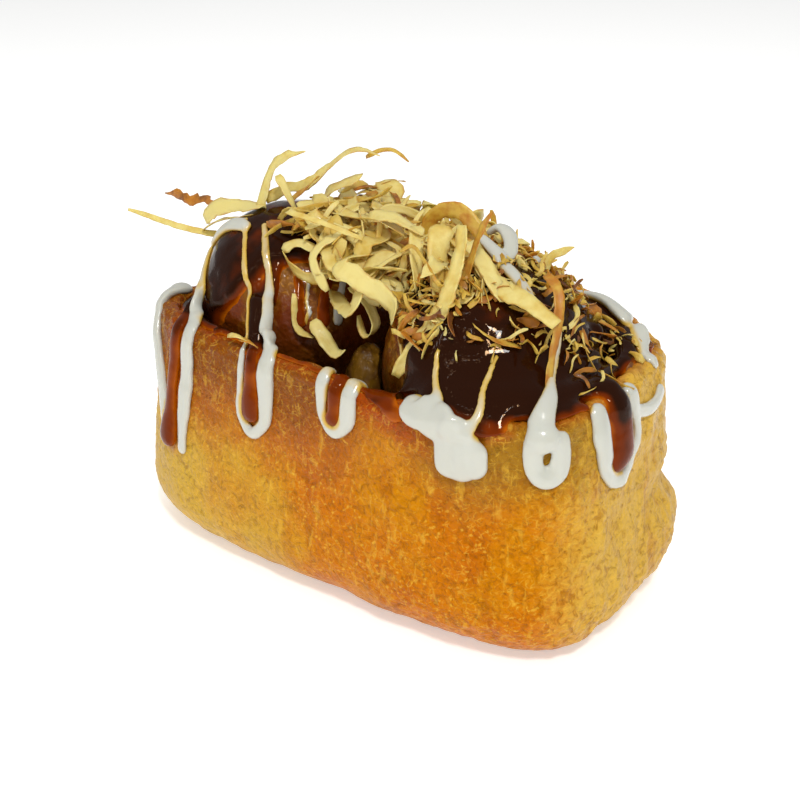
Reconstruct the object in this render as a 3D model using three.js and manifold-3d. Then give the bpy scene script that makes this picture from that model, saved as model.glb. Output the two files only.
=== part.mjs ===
// Two takoyaki balls standing side by side in an open fried tofu pouch, with a scrap of
// batter between them and a heap of bonito flakes over their tops.
// Millimetres, +Z up. X runs along the pouch, the front is -Y, and the origin is the
// middle of the base on which the pouch stands.

import * as THREE from 'three';
import { mergeVertices } from 'three/addons/utils/BufferGeometryUtils.js';
import Module from 'manifold-3d';

const wasm = await Module();
wasm.setup();

// ---- Driving dimensions ----

const GAP = 0.35; // air between touching pieces
const SEAT = 0.6; // how much of the underside of what stands on the floor is pressed flat

const POUCH_LENGTH = 85; // at half height
const POUCH_WIDTH = 48; // at half height
const POUCH_HEIGHT = 39; // base to the level of the rim
const POUCH_TAPER = 0.108; // how much narrower the rim is than the base, as a share
const PLAN_POWER = 4; // power of the rounded rectangle seen from above; 2 is an ellipse
const BASE_ROUND = 9.6; // radius between the base and the walls
const WALL = 3; // thickness of the walls and the rim
const WALL_SWELL = 0.55; // how far the walls swell and sink
const WALL_SWELL_REACH = 18; // height over which a swelling fades into the next
const WALL_SEED = 5;
const RIM_WAVE = 0.7; // how far the rim rises and falls
const RIM_WAVE_DEPTH = 12; // how far down the wall the rim's waves reach
const NOTCH_X = 13.5; // place of the small V in the front rim
const NOTCH_DEPTH = 1.8;
const NOTCH_WIDTH = 3;
const BACK_RISE = 5; // how far the back rim stands up, right of the middle
const BACK_RISE_X = 16;
const BACK_RISE_WIDTH = 15;
const LIP_EXTRA = 2.6; // how much thicker the folded lip is at the back right corner
const LIP_ANGLE = 38; // degrees round the pouch from +X to the middle of that lip
const LIP_SPREAD = 20; // degrees over which it thins out again
const CAVITY_FLOOR = 20; // height of the floor under the balls
const CAVITY_ROUND = 7; // radius between that floor and the walls
const CAVITY_DRAFT = 0.8; // how much the walls thicken from the rim to the floor

// Each ball has one shoulder that stands out (+) or falls away (-), as a share of its radius.
const LEFT_BALL = {
  x: -19.6,
  y: 0.4,
  radii: [17.0, 16.9, 17.0],
  seed: 3,
  shoulder: { toward: [-0.66, -0.2, 0.72], share: 0.07 },
};
const RIGHT_BALL = {
  x: 17.4,
  y: -0.5,
  radii: [17.3, 17.2, 17.0],
  seed: 8,
  shoulder: { toward: [0.62, 0.35, 0.7], share: -0.1 },
};
const SHOULDER_SPREAD = 0.75; // reach of a shoulder over the ball, in radii
const BALL_LUMP = 0.028; // unevenness of a ball, as a share of its radius

const SCRAP = { x: 0.6, y: -9.6, radii: [3.9, 4.6, 9.7], seed: 2 }; // between the balls
const SCRAP_LUMP = 0.05;

const HEAP_LUMPS = [
  // Middle and radii of each lump of the flake heap, from left to right.
  { at: [-25, 0.5, 54.2], radii: [8.5, 9, 3.6] },
  { at: [-15, 1.5, 54.2], radii: [9, 11.5, 5] },
  { at: [-6, 1, 51.5], radii: [8.5, 12.5, 6.5] },
  { at: [2.5, 0.5, 49], radii: [8, 12, 7] },
  { at: [11, 1, 52.5], radii: [8.5, 10.5, 5.8] },
  { at: [19, 1, 52.5], radii: [7.5, 8.5, 4] },
];
const HEAP_LUMP = 0.14; // unevenness of the heap, as a share of each lump's radius
const HEAP_FINENESS = 1.8; // how much closer its ups and downs lie than a ball's
const HEAP_SEED = 11;

// Fineness of the faceted surfaces.
const ROUND_STEPS = 68; // points round the pouch
const SECTION_STEPS = { base: 5, wall: 5, rim: 4, inner: 3, floor: 3 }; // rows of points
const BALL_DETAIL = 6; // splits of an icosahedron's edges
const LUMP_DETAIL = 3; // the same for the scrap and the heap's lumps

// ---- Shapes ----

/** A smooth bell: 1 at 0, falling to nearly 0 at 2 widths away. */
function bell(distance, width) {
  return Math.exp(-((distance / width) ** 2));
}

/**
 * Repeatable unevenness of about -1 to 1 at a point: a few waves, each finer than the one
 * before and turned a golden angle from it.
 */
function unevenness(x, y, z, seed) {
  const waves = 5;
  const goldenAngle = Math.PI * (3 - Math.sqrt(5));
  const gain = 1.6; // lifts the mean of the waves back to about 1
  let sum = 0;
  for (let i = 1; i <= waves; i++) {
    const turn = seed + goldenAngle * i;
    const along = x * Math.cos(turn) + y * Math.sin(turn) + z * Math.cos(2 * turn);
    sum += Math.sin((1 + 0.7 * i) * along + 3 * turn);
  }
  return (gain * sum) / waves;
}

/** Where a level of the pouch stands on a rounded rectangle of the given half sizes. */
function roundedRectangle(angle, halfLength, halfWidth) {
  const power = 2 / PLAN_POWER;
  const c = Math.cos(angle);
  const s = Math.sin(angle);
  return [
    Math.sign(c) * Math.abs(c) ** power * halfLength,
    Math.sign(s) * Math.abs(s) ** power * halfWidth,
  ];
}

/** How far the rim stands above its level at a place round the pouch. */
function rimRise(angle, x) {
  const slowWave = 0.6 * Math.sin(2 * angle + 0.6);
  const quickWave = 0.4 * Math.sin(5 * angle + 2.1);
  const place =
    Math.sin(angle) < 0
      ? -NOTCH_DEPTH * bell(x - NOTCH_X, NOTCH_WIDTH)
      : BACK_RISE * bell(x - BACK_RISE_X, BACK_RISE_WIDTH);
  return RIM_WAVE * (slowWave + quickWave) + place;
}

/** Thickness of the wall at a place round the pouch, with the folded lip's share. */
function wallThickness(angle) {
  const turned = Math.atan2(Math.sin(angle), Math.cos(angle));
  const away = THREE.MathUtils.radToDeg(turned) - LIP_ANGLE;
  return WALL + LIP_EXTRA * bell(away, LIP_SPREAD);
}

/**
 * A point of the pouch: inset is how far it lies inside the outer face, thick is how many
 * wall thicknesses come on top of that, and z is its height before the rim's waves.
 */
function pouchPoint(angle, { inset, thick, z }) {
  const scale = 1 - POUCH_TAPER * (z / POUCH_HEIGHT - 0.5);
  const inward = inset + thick * wallThickness(angle);
  const offBase = THREE.MathUtils.smoothstep(z, 0, BASE_ROUND);
  const level = z / WALL_SWELL_REACH;
  const swell =
    WALL_SWELL * offBase * unevenness(Math.cos(angle), Math.sin(angle), level, WALL_SEED);
  const [x, y] = roundedRectangle(
    angle,
    (POUCH_LENGTH / 2) * scale - inward + swell,
    (POUCH_WIDTH / 2) * scale - inward + swell,
  );
  const nearRim = THREE.MathUtils.smoothstep(z, POUCH_HEIGHT - RIM_WAVE_DEPTH, POUCH_HEIGHT);
  return [x, y, z + nearRim * rimRise(angle, x)];
}

/** The pouch's section, from the base's edge over the rim to the floor of its hollow. */
function pouchSection() {
  const levels = [];
  const quarter = Math.PI / 2;
  const rimRound = WALL / 2;
  const wallTop = POUCH_HEIGHT - rimRound;
  for (let i = 0; i <= SECTION_STEPS.base; i++) {
    const a = quarter * (i / SECTION_STEPS.base);
    levels.push({
      inset: BASE_ROUND * (1 - Math.sin(a)),
      thick: 0,
      z: BASE_ROUND * (1 - Math.cos(a)),
    });
  }
  for (let i = 1; i <= SECTION_STEPS.wall; i++) {
    const z = THREE.MathUtils.lerp(BASE_ROUND, wallTop, i / SECTION_STEPS.wall);
    levels.push({ inset: 0, thick: 0, z });
  }
  for (let i = 1; i <= SECTION_STEPS.rim; i++) {
    const a = Math.PI * (i / SECTION_STEPS.rim);
    levels.push({ inset: 0, thick: (1 - Math.cos(a)) / 2, z: wallTop + rimRound * Math.sin(a) });
  }
  const roundTop = CAVITY_FLOOR + CAVITY_ROUND;
  for (let i = 1; i <= SECTION_STEPS.inner; i++) {
    const down = i / SECTION_STEPS.inner;
    levels.push({
      inset: CAVITY_DRAFT * down,
      thick: 1,
      z: THREE.MathUtils.lerp(wallTop, roundTop, down),
    });
  }
  for (let i = 1; i <= SECTION_STEPS.floor; i++) {
    const a = quarter * (i / SECTION_STEPS.floor);
    levels.push({
      inset: CAVITY_DRAFT + CAVITY_ROUND * (1 - Math.cos(a)),
      thick: 1,
      z: roundTop - CAVITY_ROUND * Math.sin(a),
    });
  }
  return levels;
}

/** A closed body through rings of points, closed by a fan at each end. */
function loft(rings, startPoint, endPoint) {
  const steps = rings[0].length;
  const points = [...rings.flat(), startPoint, endPoint];
  const startIndex = points.length - 2;
  const endIndex = points.length - 1;
  const lastRing = (rings.length - 1) * steps;
  const triangles = [];
  for (let j = 0; j < steps; j++) {
    const next = (j + 1) % steps;
    triangles.push(startIndex, next, j);
    triangles.push(endIndex, lastRing + j, lastRing + next);
    for (let i = 0; i < rings.length - 1; i++) {
      const low = i * steps;
      const high = low + steps;
      triangles.push(low + j, low + next, high + next);
      triangles.push(low + j, high + next, high + j);
    }
  }
  const geometry = new THREE.BufferGeometry();
  geometry.setAttribute('position', new THREE.Float32BufferAttribute(points.flat(), 3));
  geometry.setIndex(triangles);
  return geometry;
}

/** The open pouch: flat base, rounded foot, uneven walls, wavy rim and a shallow hollow. */
function pouchGeometry() {
  const rings = pouchSection().map((level) =>
    Array.from({ length: ROUND_STEPS }, (_, j) =>
      pouchPoint((2 * Math.PI * j) / ROUND_STEPS, level),
    ),
  );
  return loft(rings, [0, 0, 0], [0, 0, CAVITY_FLOOR]);
}

/** A share to swell by, largest towards one direction from the middle. */
function shoulderShare(point, { toward, share }) {
  const direction = new THREE.Vector3(...toward).normalize();
  return share * bell(point.distanceTo(direction), SHOULDER_SPREAD);
}

/**
 * An uneven ellipsoid about a middle, as a closed mesh with shared points: swellAt gives
 * how much it swells, as a share of its radius, towards a point of the unit sphere.
 */
function lumpGeometry(middle, radii, detail, swellAt) {
  const round = new THREE.IcosahedronGeometry(1, detail);
  round.deleteAttribute('normal');
  round.deleteAttribute('uv');
  const geometry = mergeVertices(round, 1e-5);
  const place = geometry.attributes.position;
  const point = new THREE.Vector3();
  for (let i = 0; i < place.count; i++) {
    point.fromBufferAttribute(place, i);
    point.multiplyScalar(1 + swellAt(point));
    place.setXYZ(
      i,
      middle[0] + radii[0] * point.x,
      middle[1] + radii[1] * point.y,
      middle[2] + radii[2] * point.z,
    );
  }
  return geometry;
}

/**
 * A lump standing on the cavity's floor, its underside pressed flat just over it. Grow
 * makes it larger all round, as a space to keep clear of its neighbours.
 */
function standingLump({ x, y, radii }, grow, detail, swellAt) {
  const middle = [x, y, CAVITY_FLOOR + GAP + radii[2] - SEAT];
  const grown = radii.map((radius) => radius + grow);
  const geometry = lumpGeometry(middle, grown, detail, swellAt);
  const place = geometry.attributes.position;
  const seat = CAVITY_FLOOR + GAP - grow;
  for (let i = 0; i < place.count; i++) {
    place.setZ(i, Math.max(place.getZ(i), seat));
  }
  return geometry;
}

/** A takoyaki ball, uneven, with one shoulder of its own. */
function ballGeometry(ball, grow = 0) {
  return standingLump(ball, grow, BALL_DETAIL, (p) => {
    return BALL_LUMP * unevenness(p.x, p.y, p.z, ball.seed) + shoulderShare(p, ball.shoulder);
  });
}

/** A closed geometry as a solid that can be cut and joined. */
function toSolid(geometry) {
  return new wasm.Manifold(
    new wasm.Mesh({
      numProp: 3,
      vertProperties: new Float32Array(geometry.attributes.position.array),
      triVerts: new Uint32Array(geometry.index.array),
    }),
  );
}

/** A cut or joined solid as a geometry. */
function toGeometry(solid) {
  const mesh = solid.getMesh();
  const geometry = new THREE.BufferGeometry();
  geometry.setAttribute('position', new THREE.Float32BufferAttribute(mesh.vertProperties, 3));
  geometry.setIndex([...mesh.triVerts]);
  return geometry;
}

/** Both balls, grown by the gap, as one solid to cut their neighbours with. */
function ballClearance() {
  const left = toSolid(ballGeometry(LEFT_BALL, GAP));
  return left.add(toSolid(ballGeometry(RIGHT_BALL, GAP)));
}

/** The scrap of batter in the cleft between the balls, pressed against the right one. */
function scrapGeometry(grow = 0) {
  const scrap = standingLump(SCRAP, grow, LUMP_DETAIL, (p) => {
    return SCRAP_LUMP * unevenness(p.x, p.y, p.z, SCRAP.seed);
  });
  return toGeometry(toSolid(scrap).subtract(ballClearance()));
}

/** The flake heap over both balls, out to the heap's uneven outline. */
function heapGeometry() {
  let heap = null;
  HEAP_LUMPS.forEach(({ at, radii }, i) => {
    const lump = lumpGeometry(at, radii, LUMP_DETAIL, (p) => {
      const fine = p.clone().multiplyScalar(HEAP_FINENESS);
      return HEAP_LUMP * unevenness(fine.x, fine.y, fine.z, HEAP_SEED + i);
    });
    heap = heap ? heap.add(toSolid(lump)) : toSolid(lump);
  });
  const scrap = toSolid(scrapGeometry(GAP));
  return toGeometry(heap.subtract(ballClearance()).subtract(scrap));
}

// ---- Finishes ----

const tofuSkin = new THREE.MeshStandardMaterial({ color: '#c98a24', roughness: 0.45, metalness: 0 });
const ballCrust = new THREE.MeshStandardMaterial({ color: '#6e3a14', roughness: 0.35, metalness: 0 });
const batter = new THREE.MeshStandardMaterial({ color: '#6f5a22', roughness: 0.5, metalness: 0 });
const bonito = new THREE.MeshStandardMaterial({ color: '#dcc27a', roughness: 0.6, metalness: 0 });

// ---- Assembly ----

/** A named piece of the model. */
function piece(name, geometry, material) {
  geometry.computeVertexNormals();
  const mesh = new THREE.Mesh(geometry, material);
  mesh.name = name;
  return mesh;
}

const group = new THREE.Group();
group.add(piece('pouch', pouchGeometry(), tofuSkin));
group.add(piece('ball_left', ballGeometry(LEFT_BALL), ballCrust));
group.add(piece('ball_right', ballGeometry(RIGHT_BALL), ballCrust));
group.add(piece('batter_scrap', scrapGeometry(), batter));
group.add(piece('flake_heap', heapGeometry(), bonito));

// The walls are uneven, so the whole is slid until the origin is its middle.
const middle = new THREE.Box3().setFromObject(group).getCenter(new THREE.Vector3());
group.position.set(-middle.x, -middle.y, 0);
group.updateMatrixWorld(true);

export default group;
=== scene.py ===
"""Takoyaki in a deep-fried tofu pouch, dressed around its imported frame.

The pouch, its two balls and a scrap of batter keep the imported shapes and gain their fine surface.
Sauce and mayonnaise are laid over them by rays, as they would run, and the heap becomes real
shavings over a small core. Every mesh is worked out in millimetres and turned to metres as it
becomes a piece.
"""

import logging
import math
import random
from dataclasses import dataclass, field
from enum import Enum

import bmesh
import bpy
import numpy as np
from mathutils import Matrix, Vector, noise
from mathutils.bvhtree import BVHTree


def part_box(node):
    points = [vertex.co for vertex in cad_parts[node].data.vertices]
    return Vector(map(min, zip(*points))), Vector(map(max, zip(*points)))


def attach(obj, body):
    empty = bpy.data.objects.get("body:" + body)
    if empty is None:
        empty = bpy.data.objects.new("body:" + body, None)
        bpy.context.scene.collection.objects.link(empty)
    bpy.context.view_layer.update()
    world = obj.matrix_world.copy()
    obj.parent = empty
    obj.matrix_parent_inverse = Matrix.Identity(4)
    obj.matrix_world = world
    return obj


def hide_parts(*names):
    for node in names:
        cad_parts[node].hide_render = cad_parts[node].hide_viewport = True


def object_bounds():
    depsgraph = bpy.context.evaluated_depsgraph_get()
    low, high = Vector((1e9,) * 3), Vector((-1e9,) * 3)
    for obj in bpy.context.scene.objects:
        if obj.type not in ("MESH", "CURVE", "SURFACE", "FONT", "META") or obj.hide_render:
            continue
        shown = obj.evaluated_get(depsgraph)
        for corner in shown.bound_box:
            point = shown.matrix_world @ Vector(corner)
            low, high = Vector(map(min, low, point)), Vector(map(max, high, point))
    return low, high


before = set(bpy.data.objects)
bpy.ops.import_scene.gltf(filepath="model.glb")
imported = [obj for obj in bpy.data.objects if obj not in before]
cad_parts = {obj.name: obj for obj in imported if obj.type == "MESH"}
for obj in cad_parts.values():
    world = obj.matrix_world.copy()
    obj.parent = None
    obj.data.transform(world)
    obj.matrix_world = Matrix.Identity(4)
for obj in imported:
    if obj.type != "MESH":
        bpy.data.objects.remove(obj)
CAD_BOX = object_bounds()

MM = 0.001
BODY = "root"
END_LIP = 5  # mm that the folded end stands over the rim
FINE_STEP = 0.4  # mm between the points of a poured line
CLOSE = 1.3  # mm from which a falling strand is drawn to what it passes
# Painted shade on the balls' crust is darkest this far below the rim.
CLEFT_SHADE = 6  # mm below the rim where the balls' crust is darkest
LOG = logging.getLogger("takoyaki")


# ---------------------------------------------------------------- numbers and noise


def paint(red: int, green: int, blue: int) -> tuple[float, float, float, float]:
    """Turn a display colour into the linear one that shaders take.

    Args:
        red: Display red, 0 to 255.
        green: Display green, 0 to 255.
        blue: Display blue, 0 to 255.

    Returns:
        Linear red, green and blue, with alpha 1.
    """
    parts = [c / 255 for c in (red, green, blue)]
    linear = [c / 12.92 if c <= 0.04045 else ((c + 0.055) / 1.055) ** 2.4 for c in parts]
    return (*linear, 1.0)


def ramp(values: np.ndarray, low: float, high: float) -> np.ndarray:
    """Rise smoothly from 0 at low to 1 at high."""
    t = np.clip((values - low) / (high - low), 0.0, 1.0)
    return t * t * (3 - 2 * t)


def unit(vectors: np.ndarray) -> np.ndarray:
    """Scale each vector to length 1."""
    return vectors / np.maximum(np.linalg.norm(vectors, axis=-1, keepdims=True), 1e-9)


def grain(points: np.ndarray, size: float | tuple, seed: int, octaves: int = 1) -> np.ndarray:
    """Sample smooth noise at each point.

    Args:
        points: Points in mm.
        size: Width of one bump in mm, or a width along each axis.
        seed: Which noise to take.
        octaves: How many ever finer layers are added up.

    Returns:
        One value for each point, mostly between -1 and 1.
    """
    shift = np.array([seed * 17.31, seed * -9.77, seed * 5.13])
    spots = points / np.array(size) + shift
    total = np.zeros(len(points))
    for octave in range(octaves):
        scale = 2.0**octave
        total += np.array([noise.noise(Vector(p * scale)) for p in spots]) / scale
    return total


def spline(knots: np.ndarray, step: float) -> np.ndarray:
    """Draw a smooth curve through given points.

    Args:
        knots: The points, in order.
        step: Rough distance between samples, in the points' units.

    Returns:
        The sampled curve, ends included.
    """
    knots = np.asarray(knots, float)
    padded = np.vstack([2 * knots[0] - knots[1], knots, 2 * knots[-1] - knots[-2]])
    out = []
    for i in range(len(knots) - 1):
        a, b, c, d = padded[i : i + 4]
        count = max(2, int(np.linalg.norm(c - b) / step))
        t = np.linspace(0, 1, count, endpoint=False)[:, None]
        out.append(0.5 * (2 * b + (c - a) * t + (2 * a - 5 * b + 4 * c - d) * t**2
                          + (3 * b - a - 3 * c + d) * t**3))
    return np.vstack([*out, knots[-1:]])


def even(path: np.ndarray, step: float, rounds: int = 3) -> np.ndarray:
    """Respace a path evenly and round its corners.

    Args:
        path: Points along the path.
        step: Distance between samples.
        rounds: How many times neighbours are averaged.

    Returns:
        The respaced path, with the same ends.
    """
    path = np.asarray(path, float)
    run = np.r_[0, np.cumsum(np.linalg.norm(np.diff(path, axis=0), axis=1))]
    marks = np.linspace(0, run[-1], max(4, int(run[-1] / step)))
    path = np.column_stack([np.interp(marks, run, path[:, k]) for k in range(3)])
    for _ in range(rounds):
        path[1:-1] = (path[:-2] + 2 * path[1:-1] + path[2:]) / 4
    return path


# ---------------------------------------------------------------- meshes


@dataclass
class Batch:
    """Many small closed parts that become one mesh."""

    points: list[np.ndarray] = field(default_factory=list)
    faces: list[list[int]] = field(default_factory=list)
    marks: dict[str, list[np.ndarray]] = field(default_factory=dict)
    count: int = 0

    def add(self, points: np.ndarray, faces: list, **marks: np.ndarray) -> None:
        """Put one part in.

        Args:
            points: Its points in mm.
            faces: Its faces, numbered from its own first point.
            **marks: One value for each point, by name.
        """
        self.points.append(points)
        self.faces.extend([i + self.count for i in face] for face in faces)
        for name, values in marks.items():
            self.marks.setdefault(name, []).append(np.broadcast_to(values, len(points)))
        self.count += len(points)

    def mesh(self, name: str) -> bpy.types.Mesh:
        """Make the mesh with its marks as attributes.

        Args:
            name: The mesh's name.

        Returns:
            The mesh, still in mm.
        """
        mesh = bpy.data.meshes.new(name)
        mesh.from_pydata(np.vstack(self.points).tolist(), [], self.faces)
        for mark, values in self.marks.items():
            set_mark(mesh, mark, np.concatenate(values))
        return mesh


def triples(items: bpy.types.bpy_prop_collection, field_name: str) -> np.ndarray:
    """Read one vector from each item of a mesh.

    Args:
        items: The mesh's vertices or vertex normals.
        field_name: Which vector of theirs.

    Returns:
        The vectors, one to a row.
    """
    flat = np.zeros(len(items) * 3, np.float32)
    items.foreach_get(field_name, flat)
    return flat.reshape(-1, 3).astype(float)


def get_points(mesh: bpy.types.Mesh) -> np.ndarray:
    """Read a mesh's points."""
    return triples(mesh.vertices, "co")


def get_normals(mesh: bpy.types.Mesh) -> np.ndarray:
    """Read the normal at each point of a mesh."""
    return triples(mesh.vertex_normals, "vector")


def set_points(mesh: bpy.types.Mesh, points: np.ndarray) -> None:
    """Write a mesh's points."""
    mesh.vertices.foreach_set("co", points.astype(np.float32).ravel())
    mesh.update()


def set_mark(mesh: bpy.types.Mesh, name: str, values: np.ndarray) -> None:
    """Store one number at each point, for the materials to read."""
    mark = mesh.attributes.get(name) or mesh.attributes.new(name, "FLOAT", "POINT")
    mark.data.foreach_set("value", np.asarray(values, np.float32))


def relax(mesh: bpy.types.Mesh, rounds: int, amount: float | np.ndarray = 0.5) -> None:
    """Smooth a mesh by moving each point toward its neighbours' middle.

    Args:
        mesh: The mesh to smooth.
        rounds: How many times.
        amount: Share of the way that each point moves each time.
    """
    pairs = np.zeros(len(mesh.edges) * 2, np.int32)
    mesh.edges.foreach_get("vertices", pairs)
    a, b = pairs.reshape(-1, 2).T
    points = get_points(mesh)
    size = len(points)
    degree = np.maximum(np.bincount(a, minlength=size) + np.bincount(b, minlength=size), 1)
    for _ in range(rounds):
        middle = np.column_stack([
            np.bincount(a, points[b, k], size) + np.bincount(b, points[a, k], size) for k in range(3)
        ]) / degree[:, None]
        points += (middle - points) * np.reshape(amount, (-1, 1))
    set_points(mesh, points)


def evaluated(mesh: bpy.types.Mesh, kind: str, **settings: object) -> bpy.types.Mesh:
    """Apply one modifier to a mesh.

    Args:
        mesh: The mesh to change, which is used up.
        kind: The modifier's type.
        **settings: The modifier's own settings.

    Returns:
        The changed mesh.
    """
    holder = bpy.data.objects.new("holder", mesh)
    bpy.context.scene.collection.objects.link(holder)
    modifier = holder.modifiers.new("step", kind)
    for name, value in settings.items():
        setattr(modifier, name, value)
    graph = bpy.context.evaluated_depsgraph_get()
    result = bpy.data.meshes.new_from_object(holder.evaluated_get(graph), depsgraph=graph)
    bpy.data.objects.remove(holder)
    return result


def fused(batch: Batch, voxel: float, rounds: int) -> bpy.types.Mesh:
    """Melt overlapping parts into one skin.

    Args:
        batch: The parts.
        voxel: Width of a grid cell in mm.
        rounds: How often the skin is smoothed.

    Returns:
        One closed mesh in mm.
    """
    mesh = evaluated(batch.mesh("melt"), "REMESH", mode="VOXEL", voxel_size=voxel, adaptivity=0.0)
    relax(mesh, rounds)
    return mesh


def fine_copy(node: str, levels: int, kind: str = "CATMULL_CLARK") -> bpy.types.Mesh:
    """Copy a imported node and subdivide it, ready for relief.

    Args:
        node: The node's name.
        levels: Rounds of subdivision.
        kind: How, rounded or with its edges kept.

    Returns:
        The finer mesh in mm, whose points are merged and normals point out.
    """
    bm = bmesh.new()
    bm.from_mesh(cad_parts[node].data)
    bmesh.ops.remove_doubles(bm, verts=bm.verts, dist=1e-6)
    bmesh.ops.join_triangles(bm, faces=bm.faces, angle_face_threshold=0.7, angle_shape_threshold=0.7)
    bmesh.ops.scale(bm, vec=(1 / MM, 1 / MM, 1 / MM), verts=bm.verts)
    mesh = bpy.data.meshes.new(node)
    bm.to_mesh(mesh)
    bm.free()
    mesh.materials.clear()
    return evaluated(mesh, "SUBSURF", subdivision_type=kind, levels=levels, render_levels=levels)


def tube(path: np.ndarray, normals: np.ndarray, radii: np.ndarray, flat: float, sides: int = 12) -> tuple:
    """Sweep an oval along a path and shut both ends.

    Args:
        path: Points along the middle, in mm.
        normals: The direction of the oval's short axis at each point.
        radii: Half width at each point.
        flat: Height over width.
        sides: Points round the oval.

    Returns:
        The points and the faces.
    """
    ahead = unit(np.gradient(path, axis=0))
    side = unit(np.cross(ahead, normals))
    up = np.cross(side, ahead)
    turn = np.linspace(0, 2 * math.pi, sides, endpoint=False)
    rings = (path[:, None] + side[:, None] * (radii[:, None] * np.cos(turn))[..., None]
             + up[:, None] * (radii[:, None] * flat * np.sin(turn))[..., None])
    points = np.vstack([rings.reshape(-1, 3), path[:1], path[-1:]])
    faces = []
    last = len(path) - 1
    for k in range(sides):
        m = (k + 1) % sides
        faces += [[r * sides + k, r * sides + m, (r + 1) * sides + m, (r + 1) * sides + k]
                  for r in range(last)]
        faces.append([m, k, len(points) - 2])
        faces.append([last * sides + k, last * sides + m, len(points) - 1])
    return points, faces


def piece(mesh: bpy.types.Mesh, name: str, slot: str, finish: bpy.types.Material,
          stands_for: tuple[str, ...] = ()) -> None:
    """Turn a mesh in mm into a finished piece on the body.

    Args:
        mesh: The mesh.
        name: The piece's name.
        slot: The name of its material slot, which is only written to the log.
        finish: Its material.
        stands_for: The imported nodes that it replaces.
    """
    set_points(mesh, get_points(mesh) * MM)
    mesh.name = name
    mesh.materials.clear()
    mesh.materials.append(finish)
    mesh.shade_smooth()
    thing = bpy.data.objects.new(name, mesh)
    bpy.context.scene.collection.objects.link(thing)
    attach(thing, BODY)
    if stands_for:
        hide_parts(*stands_for)
    LOG.info("%s: %d points, %d faces, slot %s", name, len(mesh.vertices), len(mesh.polygons), slot)


# ---------------------------------------------------------------- materials


def add_node(tree: bpy.types.NodeTree, kind: str, settings: dict, inputs: dict) -> bpy.types.Node:
    """Add a node to a tree.

    Args:
        tree: The tree.
        kind: The node's type.
        settings: Its settings, set first.
        inputs: Its sockets by number or name, as taps, sockets or plain values.

    Returns:
        The node.
    """
    made = tree.nodes.new(kind)
    for name, value in settings.items():
        setattr(made, name, value)
    for key, value in inputs.items():
        if isinstance(value, (Tap, bpy.types.NodeSocket)):
            tree.links.new(getattr(value, "socket", value), made.inputs[key])
        else:
            made.inputs[key].default_value = value
    return made


class Tap:
    """A number or vector on its way through a material, with the usual operators."""

    def __init__(self, recipe: "Recipe", socket: bpy.types.NodeSocket) -> None:
        """Wrap a socket of a recipe."""
        self.recipe = recipe
        self.socket = socket

    def _do(self, operation: str, *values: object) -> "Tap":
        """Add one Math node on taps or numbers and give its result."""
        return self.recipe.node("ShaderNodeMath", {"operation": operation}, dict(enumerate(values)))

    def __add__(self, other: object) -> "Tap":
        """Add."""
        return self._do("ADD", self, other)

    __radd__ = __add__

    def __sub__(self, other: object) -> "Tap":
        """Subtract."""
        return self._do("SUBTRACT", self, other)

    def __rsub__(self, other: object) -> "Tap":
        """Subtract this from the other."""
        return self._do("SUBTRACT", other, self)

    def __mul__(self, other: object) -> "Tap":
        """Multiply."""
        return self._do("MULTIPLY", self, other)

    __rmul__ = __mul__

    def least(self, other: object) -> "Tap":
        """Take the smaller."""
        return self._do("MINIMUM", self, other)

    def step(self, low: float, high: float) -> "Tap":
        """Rise smoothly from 0 at low to 1 at high, or fall where low is the greater.

        Args:
            low: Where the result is 0.
            high: Where it is 1.

        Returns:
            A value between 0 and 1.
        """
        settings = {"interpolation_type": "SMOOTHSTEP"}
        if low < high:
            return self.recipe.node("ShaderNodeMapRange", settings, {0: self, 1: low, 2: high})
        return self.recipe.node("ShaderNodeMapRange", settings, {0: self, 1: high, 2: low, 3: 1.0, 4: 0.0})


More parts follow.
